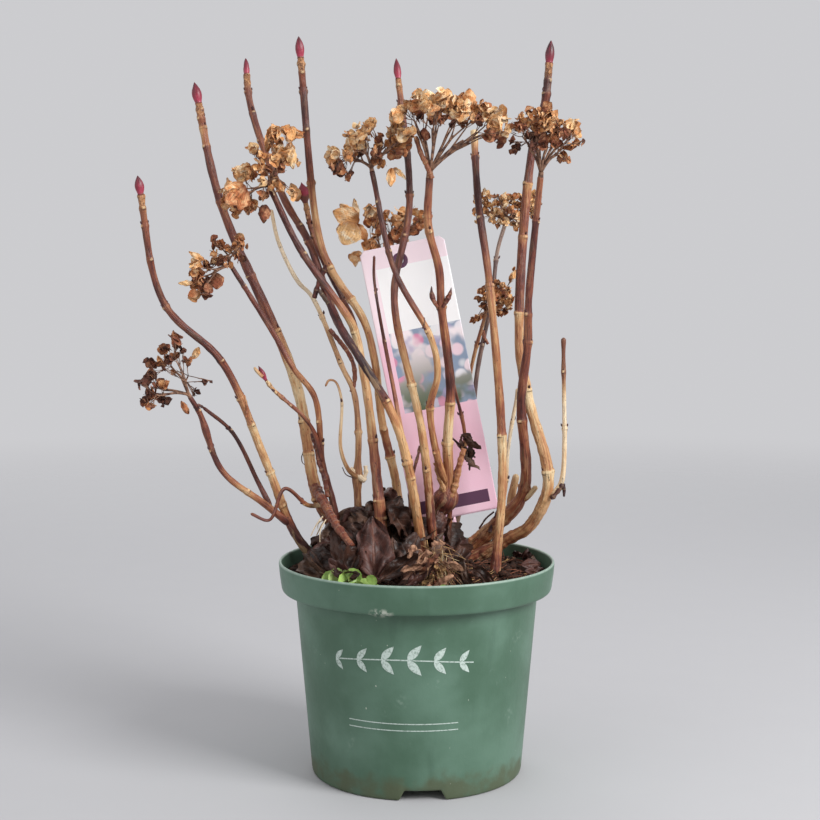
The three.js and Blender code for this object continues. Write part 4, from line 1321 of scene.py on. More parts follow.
# Where each point of a skin lies round its cane and along it, as marks for the bark. Each cane's own
# number shifts the pattern.
def skinMarks(radius, angle, at, number):
    across = (radius * np.cos(angle))[None] + number * 0.01
    return {"roundX": across, "roundY": (radius * np.sin(angle))[None], "far": at[None, :, None]}


# A cane's surface: rings round its route whose radius is the taper times one plus its relief. The
# relief adds each joint's swelling, its groove and its two leaf scars, a quarter turn on from the
# last ones, then long ridges and lumps. A free tip closes round, and the root of a cane that grows on
# another one starts narrow, swells a little and settles.
def makeCane(name, spec, seed):
    dice = np.random.default_rng(seed)
    curve = caneRoute(spec)
    length = lengthOf(curve)
    budded = spec.get("end") == "bud"
    woody = length - {"bud": 0.017, "cut": 0.010}.get(spec.get("end"), 0)
    sunk = bark["sunk"] if "foot" in spec else 0.0
    thin = spec["thick"][0] < 5.2
    cols = 12 if thin else bark["sides"]
    at = np.linspace(-sunk, woody, int((woody + sunk) / bark["step"]) + 2)
    side, up = frameAt(curve, at)[1:]
    centre = pointsAt(curve, at)
    angle = np.arange(cols)[None, :] * turn / cols
    radius = caneRadius(spec, at, length)[:, None] * np.ones(cols)
    joints = jointPlaces(spec, woody, length, dice)
    start = dice.uniform(0, turn)
    ring, under, relief = np.zeros((3, len(at), cols))
    for k, joint in enumerate(joints):
        away = (at - joint)[:, None]
        tilted = away + 0.0006 * np.cos(angle - start - k)
        lobes = np.abs(np.cos(angle - start - k * math.pi / 2)) ** 9
        ring = np.maximum(ring, bell(tilted, 0.0009) * (0.35 + 0.35 * lobes))
        ring = np.maximum(ring, bell(away + 0.0010, 0.0008) * lobes)
        under = np.maximum(under, bell(tilted + 0.0022, 0.0009) * (0.6 + 0.4 * lobes))
        under = np.maximum(under, bell(tilted - 0.0016, 0.0006) * 0.6)
        relief += bark["swell"] * bell(away + 0.001, 0.0034)
        relief -= bark["groove"] * bell(tilted - 0.0018, 0.0008)
        relief += bark["scar"] * bell(away + 0.0008, 0.0017) * lobes
    spot = centre[:, None, :] + side[:, None, :] * np.cos(angle)[..., None] * 0.004
    fromTip = (woody - at)[:, None]
    old = smooth(fromTip, 0.16, 0.40) * (0 if thin else 1) * 0.85 + 0.15
    relief = relief + 0.05 * lumps(spot * [1, 1, 0.2], 0.008, seed + 2) + 0.05 * lumps(spot, 0.02, seed + 3)
    relief = relief + np.cos(angle * 5 + 3 * lumps(spot, 0.05, seed + 4)) * 0.035 * old
    relief = relief + 0.06 * lumps(spot, 0.006, seed + 5) * old
    green = (1 - smooth(fromTip, bark["green"] * 0.5, bark["green"])) if budded else 0 * fromTip
    relief = relief + 0.10 * lumps(spot, 0.0045, seed + 6) * green
    if spec.get("end") is None:
        closing = np.sqrt(np.clip(fromTip / (radius[-1, 0] * 0.7), 0, 1))
        relief = (1 + relief) * (0.35 + 0.65 * closing) - 1
    if "on" in spec:
        relief = relief + (0.45 * np.exp(-at / 0.006) - 0.85 * np.exp(-at / 0.0025))[:, None]
    bent = np.zeros(len(at))
    for k, joint in enumerate(joints):
        bent += (-1) ** k * bell(at - joint, 0.005)
    centre = centre + side * (bent * bark["kink"])[:, None]
    grid = ringsAround(centre, side, up, radius * (1 + relief), cols)
    # The tone follows the cane's own list. Each stretch between joints differs a little, and is paler
    # just under a joint, but not near the tip.
    steps = dice.normal(0, 0.10, len(joints) + 1)
    stretch = steps[np.searchsorted(np.sort(joints), at)]
    tone = np.interp((woody - at) / woody, np.linspace(0, 1, len(spec["tones"])), spec["tones"]) + stretch
    for joint in joints[joints < woody - 0.08]:
        below = np.maximum(joint - at, 0)
        tone += spec.get("paleUnder", bark["paleUnder"]) * np.exp(-below / 0.012) * (at < joint)
    marks = {"tone": tone[None, :, None], "ring": ring[None], "old": old[None], "tip": green[None],
             "under": under[None], **skinMarks(radius, angle, at, seed)}
    kind = spec.get("bark", "red")
    Shape().add(grid[None], marks=marks).piece(name + "_bark", [barkFinishes[kind]], slotOf(kind), [name])
    curves[name] = curve
    jointsOf[name] = (joints, start)


# Short side shoots, stubs, loops and roots: the route's points in millimetres, the diameters at its
# start and end, its tone and its kind of bark.
shoots = [
    ([(-74, 7, 422), (-79, 7, 413), (-82, 7, 405), (-85, 7, 395)], 4.9, 4.1, 0.12, "red"),
    ([(-86, 30, 233), (-76, 0, 223), (-66, -32, 212), (-52, -58, 199)], 8.5, 5.5, 0.3, "red"),
    ([(-79, 8, 212), (-84, 0, 206), (-88, -8, 198)], 1.3, 0.7, 1, "pale"),
    ([(-76, 4, 210), (-80, -6, 203), (-80, -14, 194)], 1.1, 0.6, 0.9, "pale"),
    ([(-81, 4, 402), (-76, 4, 395), (-70, 4, 388)], 2.9, 4.9, 0, "dark"),
    ([(-73, 20, 369), (-64, 20, 358), (-58, 20, 350), (-53, 20, 339), (-52, 19, 326), (-54, 18, 316)],
     3.7, 3.7, 0.3, "red"),
    ([(-126, -15, 331), (-130, -15, 335), (-133, -15, 339)], 2.9, 2.5, 0.7, "red"),
    ([(-95, 33, 266), (-98, 33, 260), (-97, 33, 254), (-92, 33, 252)], 0.82, 0.82, 0.1, "dark"),
    ([(-78, 36, 205), (-82, 36, 199), (-86, 36, 191)], 1.8, 0.82, 1, "pale"),
    ([(-79, 36, 205), (-84, 36, 202), (-85, 36, 197)], 1.3, 0.66, 1, "pale"),
    ([(-82, 34, 225), (-78, 34, 218), (-79, 34, 208)], 2.5, 1.6, 0.95, "pale"),
    ([(-88, 12, 282), (-84, 12, 269), (-82, 12, 258), (-77, 12, 242), (-75, 12, 228)],
     3.7, 4.1, 0.25, "red"),
    ([(12, -40, 490), (8, -41, 500), (3, -42, 510), (-1, -42, 523)], 4.4, 3.4, 0.45, "red"),
    ([(17, -19, 388), (14, -19, 393), (12, -19, 398)], 2.4, 5, 0.2, "red"),
    ([(13, -20, 395), (12, -20, 400), (12, -20, 405)], 4.8, 0.9, 0.15, "red"),
    ([(21, -19, 388), (24, -19, 393), (26, -19, 397)], 2.4, 4.8, 0.15, "red"),
    ([(25, -20, 395), (27, -20, 399), (28, -20, 404)], 4.6, 0.9, 0.1, "red"),
    ([(5, -28, 371), (6, -28, 376), (6, -28, 380)], 2.1, 0.99, 0.2, "red"),
    ([(63, 76, 354), (60, 76, 359), (58, 76, 366)], 2.5, 4.1, 0.35, "red"),
    ([(59, 76, 363), (57, 76, 367), (56, 76, 370)], 3.7, 0.82, 0.3, "red"),
    ([(39, 25, 267), (35, 25, 272), (30, 25, 277)], 3.3, 1.2, 0.1, "dark"),
    ([(40, 24, 269), (45, 24, 264), (50, 24, 260)], 4.1, 1.3, 0.05, "dark"),
    ([(42, 24, 267), (45, 24, 258), (45, 24, 249)], 4.1, 1.6, 0, "dark"),
    ([(43, 25, 280), (42, 25, 273), (39, 25, 268)], 3.3, 4.5, 0.6, "red"),
    ([(40, 13, 269), (37, 13, 259), (35, 13, 249), (32, 13, 236), (28, 13, 226)], 4.1, 5.8, 0.55, "red"),
    ([(16, 14, 257), (19, 14, 246), (23, 14, 235), (27, 14, 226)], 4.1, 5.8, 0.75, "red"),
    ([(3, -4, 273), (0, -4, 261), (-3, -4, 251), (-5, -4, 244)], 2.6, 3, 0.15, "red"),
    ([(124, 20, 238), (125, 20, 233), (125, 20, 227)], 3.3, 2, 0.05, "dark"),
    ([(124, 20, 238), (120, 20, 232), (114, 20, 225)], 4.1, 3.7, 0.1, "dark"),
    ([(72, 65, 203), (60, 65, 193), (49, 65, 184), (40, 65, 178)], 2.6, 4.1, 0.6, "red"),
    ([(68, 60, 208), (61, 60, 202), (55, 60, 193)], 1.6, 2, 0.1, "dark"),
    ([(72, 57, 212), (68, 57, 201), (64, 57, 190)], 2.5, 3.3, 0.15, "dark"),
    ([(-56, 16, 252), (-51, 16, 247), (-43, 16, 241)], 3.3, 5.4, 0.95, "pale"),
    ([(-43, 16, 254), (-43, 16, 247), (-47, 16, 241)], 3.3, 4.1, 1, "pale"),
    ([(-62, 5, 254), (-59, 5, 248), (-52, 5, 245)], 0.82, 0.99, 0, "dark"),
    ([(-178, 8, 304), (-180, -5, 307), (-182, -20, 309)], 2.2, 2.6, 0.15, "red"),
    ([(-141, -6, 297), (-140, -6, 305), (-142, -6, 315)], 2.5, 1.3, 0.6, "red"),
    ([(-97, 22, 186), (-91, 22, 179), (-80, 22, 176)], 4.1, 2.5, 0.2, "red"),
    ([(-34, -10, 260), (-31, -10, 245), (-33, -10, 229)], 2.5, 1.6, 0.1, "red"),
    ([(-11, 29, 216), (-10, 29, 201), (-12, 29, 184)], 3.3, 4.1, 0.1, "dark"),
]


# Each is a tube along its route, with lumps and small knots, closing round at its end.
def makeShoots():
    shapes = {row[4]: Shape() for row in shoots}
    cols = 9
    for k, (points, thick, tip, tone, kind) in enumerate(shoots):
        curve = smoothRoute(metres(points))
        length = lengthOf(curve)
        at = np.linspace(0, length, int(length / 0.001) + 5)
        side, up = frameAt(curve, at)[1:]
        centre = pointsAt(curve, at)
        share = (at / length)[:, None]
        angle = np.arange(cols)[None, :] * turn / cols
        closing = np.sqrt(np.clip((1.02 - share) * length / 0.001, 0.05, 1))
        radius = 0.0005 * (thick + (tip - thick) * share) * closing
        spot = centre[:, None, :] + side[:, None, :] * np.cos(angle)[..., None] * 0.003
        knots = 0.18 * bell((share * length / 0.009 % 1) - 0.5, 0.12)
        radius = radius * (1 + 0.22 * lumps(spot, 0.005, 900 + k) + knots * (thick > 2))
        marks = {"tone": tone, "ring": knots[None] * 2.5, "old": 0.2, "tip": 0.0, "under": 0.0,
                 **skinMarks(radius, angle, at, k)}
        shapes[kind].add(ringsAround(centre, side, up, radius, cols)[None], marks=marks)
    for kind, shape in shapes.items():
        shape.piece("side_shoots_" + kind, [barkFinishes[kind]], slotOf(kind))


for k, (name, spec) in enumerate(canes.items()):
    makeCane(name, spec, 100 + 7 * k)
makeShoots()
print("canes made")


# Buds

buds = {
    "length": 0.0175,
    "sunk": 0.0172,
    "rows": 20,
    "cols": 20,
    "crimson": "841d33",
    "pink": "a8364e",
    "dark": "43141d",
    "base": "6e3c2e",
    "sideLength": 0.0036,
    "sideDark": "1d1013",
    "sideBrown": "5a2b2c",
}


def budFinish():
    finish = Finish("bud_scales", {"Specular IOR Level": 0.5, "Coat Weight": 0.2, "Coat Roughness": 0.3})
    along, edge = finish.mark("along"), finish.mark("edge")
    cloud = finish.noise(0.004, 3)
    stops = [(0.0, buds["base"]), (0.12, buds["pink"]), (0.4, buds["crimson"]), (1.0, buds["dark"])]
    base = finish.ramp(along + (cloud - 0.5) * 0.3, stops)
    edged = finish.blend(edge * 0.5, base, buds["pink"])
    fine = finish.noise(0.0009, 2, (1, 1, 0.2))
    normal = finish.bump(fine + edge, 0.0003, 0.6)
    return finish.feed(colour=edged, roughness=0.4 + fine * 0.15, normal=normal)


# A tip bud: a pointed egg on the end of the cane's route. Two pairs of scales wrap it, and the
# radius steps down where the outer pair's edges run up each side as a curve.
def makeTipBuds():
    shape = Shape()
    t = np.linspace(0, 1, buds["rows"])
    profile = np.interp(t, [0, 0.06, 0.14, 0.26, 0.4, 0.55, 0.7, 0.84, 0.94, 1],
                        [1.0, 0.88, 1.00, 1.18, 1.28, 1.22, 0.98, 0.62, 0.30, 0.04])
    angle = np.arange(buds["cols"])[None, :] * turn / buds["cols"]
    for name, spec in canes.items():
        if spec.get("end") != "bud":
            continue
        curve = curves[name]
        length = lengthOf(curve)
        wide, long, shade = (*spec.get("bud", (1, 1)), 0)[:3]
        at = length - buds["sunk"] + t * buds["length"] * long
        side, up = frameAt(curve, at)[1:]
        folded = np.abs(np.cos(angle - jointsOf[name][1]))
        past = folded - (0.25 + 0.75 * t[:, None] ** 1.5)
        outer = smooth(past, -0.04, 0.08)
        width = profile * (1 + (wide - 1) * np.sin(math.pi * t))
        radius = metres(spec["thick"][1]) / 2 * width[:, None] * (0.93 + 0.12 * outer)
        grid = ringsAround(pointsAt(curve, at), side, up, radius, buds["cols"])
        # The shift moves a bud along its colour ramp; on cane_short_bud it paints light on a bud in shade.
        shape.add(grid[None], marks={"along": t[None, :, None] + shade, "edge": bell(past, 0.08)[None]})
    shape.piece("tip_buds", [budFinish()], "dark_cane")


# Small buds and bud stumps stand in pairs in the leaf joints, pointing up and out.
def makeSideBuds():
    finish = Finish("bud_dark", {"Roughness": 0.6})
    tone = finish.noise(0.002, 3)
    colour = finish.blend(tone, buds["sideDark"], buds["sideBrown"])
    finish.feed(colour=colour, normal=finish.bump(tone, 0.0003))
    dice = np.random.default_rng(63)
    shape = Shape()
    for name, spec in canes.items():
        joints, start = jointsOf[name]
        curve = curves[name]
        length = lengthOf(curve)
        if len(joints) == 0:
            continue
        clear = length - joints > (0.023 if spec.get("end") == "bud" else 0.004)
        kept = np.flatnonzero((dice.uniform(size=len(joints)) < 0.72) & clear)
        at = np.repeat(joints[kept], 2) + 0.0012
        turned = start + np.repeat(kept, 2) * math.pi / 2 + np.tile([0, math.pi], len(kept))
        way, side, up = frameAt(curve, at)
        out = side * np.cos(turned)[:, None] + up * np.sin(turned)[:, None]
        radius = caneRadius(spec, at, length)[:, None]
        base = pointsAt(curve, at) + out * radius * 0.85
        size = buds["sideLength"] * dice.uniform(0.35, 1.0, (len(at), 1))
        tip = base + (way * 0.9 + out * 0.45) * size
        middle = base + (way * 0.25 + out * 0.45) * size
        grids = budCones(base, middle, tip, size[:, 0] * 0.3)
        shape.add(grids, marks={"along": np.linspace(0.4, 1, grids.shape[1])[None, :, None], "edge": 0.2})
    shape.piece("side_buds", [finish], "dark_cane")


# Small cones that swell a little past their foot and close to a point: twigs whose radius is a power
# of a sine of the way along, plus a small remainder at the point.
def budCones(base, middle, tip, radius, rows=6, cols=6):
    count = len(base)
    grid = twigs(base, middle, tip, np.ones((count, 2)), rows, cols)
    centre = grid.mean(axis=2, keepdims=True)
    t = np.linspace(0, 1, rows)
    shape = np.sin(math.pi * np.clip(t * 0.62 + 0.34, 0, 1)) ** 0.9 + 0.03
    return centre + (grid - centre) * (radius[:, None] * shape)[..., None, None]


makeTipBuds()
makeSideBuds()
print("buds made")


# Dried heads

# Each head stands on its cane and opens away from its heart. Clumps are measured in millimetres: x,
# y, z, spread, number of sepals, their length and colour, from cream (0) to dark brown (5); the browns
# given to the clumps low under a head are partly painted shade. A clump without the middle three takes
# them from each. darker shifts a head's colours and pointed narrows its sepals' tips. Single petals run
# from a foot to a tip, with width share, curl, roll and colour.
heads = {
    "head_left_low": {
        "cane": "cane_left_low", "heart": (-202, -34, 337), "rays": 5, "seed": 3, "darker": 1,
        "pointed": 1.05,
        "clumps": [
            (-192, -50, 364, 3, 4, 7.92, 3), (-194, -27, 359, 3, 2, 6.46, 4),
            (-202, -39, 355, 3, 4, 7.99, 3), (-197, -19, 349, 3, 4, 7.31, 2),
            (-199, -44, 347, 3, 5, 7.16, 4), (-213, -32, 343, 4, 6, 7.23, 3),
            (-218, -15, 333, 4, 6, 7.33, 3), (-219, -53, 328, 3, 3, 8.69, 5),
            (-218, -24, 329, 3, 3, 7.28, 5), (-206, -36, 342, 3, 3, 6.41, 3),
            (-202, -50, 328, 3, 5, 7.13, 2), (-212, -27, 324, 3, 3, 6.46, 3),
            (-213, -39, 319, 4, 7, 8.79, 3), (-223, -19, 312, 3, 5, 8.12, 3),
            (-215, -44, 311, 3, 3, 7.16, 2), (-207, -32, 316, 3, 5, 8.04, 4),
            (-206, -15, 309, 3, 3, 6.52, 4), (-210, -53, 310, 2, 3, 4.74, 3),
            (-190, -24, 353, 2, 3, 4.86, 5), (-185, -36, 345, 3, 5, 5.61, 3),
            (-169, -50, 329, 2, 5, 3.96, 5), (-167, -27, 328, 1, 3, 3.23, 5),
            (-177, -39, 321, 2, 4, 4.79, 5), (-182, -19, 316, 1, 2, 4.06, 5),
            (-201, -44, 339, 2, 2, 4.77, 5), (-196, -32, 337, 2, 2, 4.82, 2),
        ],
        "petals": [
            (-180, -41, 347, -173, -43, 357, 0.75, 0.5, -1.2, 1),
            (-184, -34, 302, -190, -36, 313, 0.55, 0.4, -1, 3),
            (-194, -30, 354, -196, -32, 369, 0.7, -0.4, 1.4, 4),
            (-207, -23, 340, -210, -25, 349, 0.6, 0.3, 0.8, 2),
        ],
    },
    "head_left": {
        "cane": "cane_left_flower", "heart": (-168, -24, 423), "rays": 5, "seed": 7, "pointed": 1,
        "clumps": [
            (-141, -40, 443, 3, 7, 6.39, 3), (-147, -17, 438, 3, 5, 6.51, 2),
            (-141, -29, 437, 3, 4, 5.64, 3), (-160, -9, 438, 3, 7, 7.37, 3),
            (-161, -34, 439, 3, 3, 7.22, 4), (-152, -22, 436, 3, 5, 5.67, 3),
            (-148, -5, 431, 3, 5, 5.75, 3), (-139, -43, 427, 2, 3, 7.17, 4),
            (-163, -14, 427, 3, 5, 6.53, 2), (-157, -26, 425, 3, 5, 6.46, 4),
            (-151, -40, 422, 2, 3, 5.59, 3), (-171, -17, 424, 3, 4, 7.33, 3),
            (-177, -34, 420, 4, 6, 8.03, 1), (-182, -14, 423, 2, 2, 7.34, 1),
            (-174, -34, 414, 4, 8, 8.02, 3), (-183, -22, 416, 2, 2, 7.29, 3),
            (-174, -5, 408, 4, 7, 8.22, 4), (-169, -43, 401, 3, 4, 7.97, 4),
            (-172, -14, 402, 2, 2, 7.34, 3), (-178, -26, 407, 3, 4, 8.08, 3),
            (-176, -40, 399, 3, 3, 7.19, 2), (-168, -17, 420, 3, 4, 5.7, 3),
            (-164, -29, 431, 3, 3, 4.83, 2),
        ],
        "petals": [
            (-170, -33, 426, -182, -35, 432, 0.4, 0.3, -0.6, 1),
            (-179, -37, 408, -190, -39, 408, 0.55, -0.3, -1, 0),
            (-161, -28, 416, -161, -30, 403, 1, 0.2, -0.7, 4),
            (-176, -22, 405, -178, -24, 393, 0.5, 0.4, -1.6, 2),
            (-165, -17, 434, -164, -19, 444, 0.5, 0.3, 1.2, 4),
        ],
    },
    "head_centre_left": {
        "cane": "cane_centre_flower", "heart": (-125, -30, 499), "rays": 6, "seed": 11,
        "clumps": [
            (-111, -55, 524, 4, 5, 10.3, 1), (-112, -21, 520, 5, 5, 9.73, 2),
            (-102, -42, 525, 4, 4, 9.57, 1), (-97, -17, 526, 3, 3, 9.76, 1),
            (-115, -48, 521, 3, 2, 9.51, 1), (-130, -33, 514, 3, 5, 7.23, 1),
            (-130, -7, 513, 2, 3, 6.56, 2), (-120, -53, 507, 3, 5, 7.11, 2),
            (-125, -17, 500, 3, 4, 7.32, 3), (-109, -38, 509, 5, 7, 10.4, 0),
            (-111, -55, 502, 4, 4, 8.68, 1), (-106, -21, 504, 4, 4, 8.92, 2),
            (-107, -36, 499, 3, 3, 6.41, 3), (-97, -17, 505, 3, 3, 6.51, 1),
            (-139, -48, 495, 4, 5, 9.51, 0), (-138, -27, 493, 3, 4, 8.07, 2),
            (-138, -12, 500, 3, 4, 8.98, 1), (-124, -58, 498, 4, 5, 8.65, 1),
            (-133, -17, 495, 3, 4, 7.32, 2), (-119, -33, 498, 3, 4, 7.23, 3),
            (-121, -55, 488, 3, 4, 7.89, 0), (-116, -26, 487, 3, 3, 8.07, 1),
            (-110, -36, 485, 3, 4, 8.01, 2), (-151, -17, 481, 6, 7, 13.8, 1),
            (-145, -48, 484, 4, 3, 11.1, 0), (-151, -27, 472, 5, 6, 11.3, 2),
            (-146, -7, 475, 5, 5, 10.7, 4), (-139, -53, 469, 4, 4, 9.48, 3),
            (-145, -17, 465, 4, 4, 8.95, 2), (-132, -33, 470, 4, 5, 9.64, 2),
            (-132, -49, 466, 3, 4, 7.92, 3), (-138, -21, 474, 3, 3, 8.11, 2),
            (-123, -36, 477, 3, 4, 7.21, 3), (-122, -12, 480, 3, 3, 6.54, 4),
            (-98, -48, 479, 2, 3, 7.93, 1),
        ],
        "petals": [
            # The first three petals make the bell. Their darker colours than the head's own are partly
            # painted shade.
            (-135, -54, 485, -149, -58, 467, 0.95, 0.7, -1, 3),
            (-134, -54, 482, -139, -58, 463, 0.7, 0.6, -1.1, 3),
            (-136, -54, 486, -151, -58, 479, 0.65, 0.7, -0.9, 2),
            (-99, 20, 475, -104, 18, 490, 0.75, -0.5, 1, 1), (-95, 24, 474, -91, 24, 488, 0.45, 0.5, -1, 2),
            (-101, -38, 519, -98, -40, 499, 0.5, -0.4, -0.8, 0),
            (-120, -41, 470, -121, -43, 455, 0.8, 0.9, -1, 4),
            (-122, -35, 470, -122, -37, 455, 0.75, -0.9, 1, 4),
            (-120, -22, 512, -119, -24, 530, 0.35, -0.5, 0.8, 1),
            (-148, -54, 488, -143, -56, 475, 1.3, 1.6, -1.6, 0),
            (-102, -35, 528, -90, -37, 522, 0.5, 1.3, -1, 1),
            (-110, -44, 489, -105, -46, 479, 0.7, 0.4, -1.2, 2),
        ],
    },
    "head_centre": {
        "cane": "cane_label_flower", "heart": (-38, -30, 521), "rays": 6, "seed": 15,
        "clumps": [
            (-56, -52, 524, 3, 3, 7.11, 1), (-52, -27, 526, 3, 3, 6.46, 0), (-47, -40, 531, 2, 3, 5.59, 0),
            (-36, -19, 537, 3, 4, 7.31, 0), (-37, -46, 530, 3, 3, 7.15, 1), (-40, -33, 526, 4, 5, 8.84, 1),
            (-38, -9, 529, 3, 3, 7.37, 2), (-44, -55, 521, 3, 4, 7.09, 1), (-31, -19, 522, 3, 5, 7.31, 2),
            (-29, -32, 523, 3, 3, 6.43, 3), (-48, -52, 518, 3, 4, 7.11, 0), (-53, -27, 517, 4, 5, 8.88, 1),
            (-55, -40, 512, 3, 4, 7.18, 0), (-44, -19, 518, 3, 4, 8.12, 0), (-65, -46, 509, 4, 5, 9.53, 0),
            (-65, -28, 506, 4, 5, 8.87, 2), (-69, -14, 505, 3, 3, 8.15, 1), (-55, -51, 507, 3, 4, 7.12, 2),
            (-47, -19, 513, 4, 5, 7.31, 4), (-52, -32, 512, 3, 4, 7.23, 3), (-63, -47, 499, 4, 6, 7.94, 4),
            (-62, -22, 497, 4, 5, 8.1, 5), (-54, -36, 494, 3, 4, 6.41, 4), (-57, -14, 492, 1, 2, 4.89, 5),
            (-32, -41, 509, 3, 4, 6.38, 4), (-32, -28, 506, 3, 5, 7.26, 3), (-28, -9, 505, 3, 3, 7.37, 2),
            (-34, -51, 512, 3, 3, 5.54, 3), (-17, -23, 531, 4, 5, 8.9, 0), (-21, -37, 527, 3, 4, 8, 1),
            (-12, -52, 525, 3, 4, 7.9, 0), (-15, -27, 535, 3, 3, 7.26, 1), (-16, -36, 519, 4, 6, 9.61, 2),
            (-10, -14, 522, 4, 5, 8.97, 3), (-6, -41, 522, 3, 3, 7.18, 4), (-21, -28, 518, 3, 4, 7.26, 2),
            (-11, -9, 517, 3, 4, 7.37, 4), (-5, -55, 524, 3, 4, 7.88, 1), (-6, -19, 518, 3, 3, 6.5, 3),
            (-18, -32, 509, 3, 4, 6.43, 3), (-13, -47, 509, 3, 4, 6.35, 4), (-16, -22, 514, 3, 3, 6.48, 3),
        ],
        "petals": [
            (-20, -37, 499, -21, -39, 484, 0.6, 0.3, -0.8, 1),
            (-19, -32, 499, -9, -34, 491, 0.4, -0.4, 0.8, 0),
            (-51, -42, 515, -40, -44, 513, 0.5, 0.5, 0.8, 0),
            (-71, -23, 508, -61, -25, 495, 0.6, 1, -1.4, 4),
        ],
    },
    "head_top": {
        "cane": "cane_mid_flower", "heart": (26, -40, 541), "rays": 9, "seed": 19,
        "clumps": [
            (-15, -73, 536, 4, 5, 9.32, 1), (-12, -35, 544, 3, 3, 9.62, 0), (-18, -49, 537, 3, 3, 7.13, 2),
            (1, -23, 556, 5, 5, 10.5, 1), (-2, -57, 545, 4, 5, 9.44, 2), (3, -44, 552, 4, 5, 11.1, 0),
            (9, -16, 553, 5, 5, 11.4, 0), (10, -78, 540, 4, 5, 9.28, 1), (0, -23, 544, 4, 4, 8.1, 3),
            (5, -51, 545, 4, 4, 9.5, 0), (18, -73, 551, 4, 5, 10.1, 0), (24, -35, 554, 3, 4, 8.82, 1),
            (19, -56, 547, 4, 6, 9.45, 1), (24, -16, 549, 4, 5, 8.96, 2), (15, -64, 546, 4, 4, 8.6, 0),
            (30, -44, 549, 4, 5, 9.55, 1), (31, -16, 546, 5, 6, 10.6, 0), (34, -78, 536, 4, 6, 9.28, 1),
            (31, -23, 539, 4, 5, 8.91, 2), (35, -51, 545, 4, 5, 8.7, 1), (39, -73, 545, 2, 3, 6.99, 0),
            (36, -28, 555, 3, 3, 8.06, 2), (45, -49, 545, 4, 6, 7.13, 2), (48, -16, 544, 4, 6, 7.33, 4),
            (44, -57, 536, 3, 5, 7.08, 2), (53, -37, 547, 3, 5, 8.01, 2), (58, -9, 546, 4, 5, 8.19, 3),
            (48, -71, 533, 3, 5, 7.78, 4), (55, -30, 539, 3, 5, 8.05, 1), (60, -51, 539, 4, 4, 9.5, 0),
            (61, -73, 531, 4, 5, 9.32, 1), (67, -35, 541, 3, 4, 8.02, 1), (59, -49, 530, 3, 4, 8.72, 2),
            (69, -23, 539, 3, 3, 8.1, 0), (57, -57, 523, 3, 6, 7.08, 4), (61, -37, 524, 3, 4, 6.41, 5),
            (68, -9, 529, 3, 4, 7.37, 2), (68, -78, 522, 2, 3, 6.96, 0), (67, -23, 522, 3, 4, 6.48, 4),
            (6, -43, 523, 3, 3, 8.76, 4), (2, -66, 535, 3, 4, 6.25, 4), (12, -28, 538, 3, 4, 6.45, 3),
            (20, -49, 537, 4, 5, 6.34, 4), (38, -16, 536, 3, 4, 6.51, 4), (27, -57, 531, 3, 3, 6.3, 5),
            (-6, -37, 549, 3, 2, 6.41, 2), (16, -9, 545, 4, 4, 7.37, 2),
        ],
        "petals": [
            (42, -54, 544, 41, -56, 558, 1, -0.3, -1, 2), (5, -51, 529, 8, -53, 519, 0.6, 0.2, -0.8, 4),
            (18, -29, 549, 20, -31, 562, 0.7, -0.6, 1.2, 0), (6, -40, 545, 0, -42, 559, 0.7, -0.8, 1, 1),
            (31, -65, 534, 25, -67, 542, 0.9, 0.8, -1.3, 0),
            (64, -62, 536, 56, -64, 537, 0.8, 0.8, -1.2, 0),
        ],
    },
    "head_right": {
        "cane": "cane_right_flower", "heart": (103, -30, 529), "rays": 8, "seed": 23, "pointed": 0.95,
        "clumps": [
            (82, -48, 537, 3, 6, 6.35, 2), (90, -22, 543, 3, 4, 7.3, 3), (85, -36, 533, 4, 8, 6.41, 3),
            (91, -13, 537, 3, 6, 6.53, 2), (78, -42, 531, 3, 4, 6.38, 3), (72, -33, 529, 3, 4, 5.62, 1),
            (76, -9, 533, 2, 3, 4.92, 3), (83, -51, 527, 3, 6, 6.33, 4), (96, -18, 537, 4, 6, 7.32, 2),
            (95, -32, 531, 4, 8, 6.43, 3), (97, -48, 524, 4, 7, 6.35, 4), (91, -22, 526, 4, 6, 6.48, 5),
            (101, -41, 538, 3, 4, 7.18, 1), (108, -18, 539, 3, 4, 7.31, 0), (108, -42, 539, 3, 3, 7.17, 2),
            (102, -28, 533, 3, 6, 6.45, 3), (110, -9, 534, 3, 6, 6.55, 4), (102, -56, 533, 3, 4, 6.3, 1),
            (114, -23, 535, 3, 5, 6.48, 1), (111, -32, 527, 4, 8, 6.43, 4), (105, -48, 522, 4, 6, 7.14, 3),
            (113, -22, 522, 4, 6, 6.48, 4), (102, -36, 521, 3, 5, 6.41, 4), (96, -13, 522, 3, 5, 6.53, 5),
            (119, -47, 532, 3, 5, 7.14, 1), (125, -28, 532, 4, 5, 7.26, 2), (129, -14, 529, 3, 5, 7.34, 1),
            (118, -51, 525, 3, 5, 6.33, 4), (123, -18, 524, 3, 3, 5.69, 3), (127, -32, 518, 3, 4, 7.23, 2),
            (129, -48, 518, 2, 2, 5.55, 4), (79, -22, 516, 3, 4, 8.11, 5), (76, -36, 519, 2, 3, 5.61, 4),
            (118, -13, 509, 3, 4, 7.34, 2), (113, -42, 505, 2, 3, 6.38, 4), (120, -28, 506, 2, 3, 6.45, 3),
            (125, -14, 538, 3, 3, 6.53, 0), (104, -40, 541, 3, 5, 6.5, 2), (99, -44, 532, 3, 5, 6.4, 3),
            (106, -46, 530, 3, 5, 6.4, 2), (100, -50, 517, 3, 5, 6.4, 4), (108, -50, 516, 3, 4, 6.4, 4),
            (93, -46, 515, 3, 4, 6.4, 4), (103, -30, 546, 3, 4, 6.5, 3), (97, -30, 543, 3, 4, 6.5, 2),
        ],
        "petals": [
            (96, -50, 526, 109, -52, 533, 0.6, 0.5, 1, 1), (93, -38, 535, 85, -40, 542, 0.5, 0.9, 1, 2),
            (116, -27, 516, 128, -29, 515, 0.5, 0.6, -1, 3),
        ],
    },
    "head_back_right": {
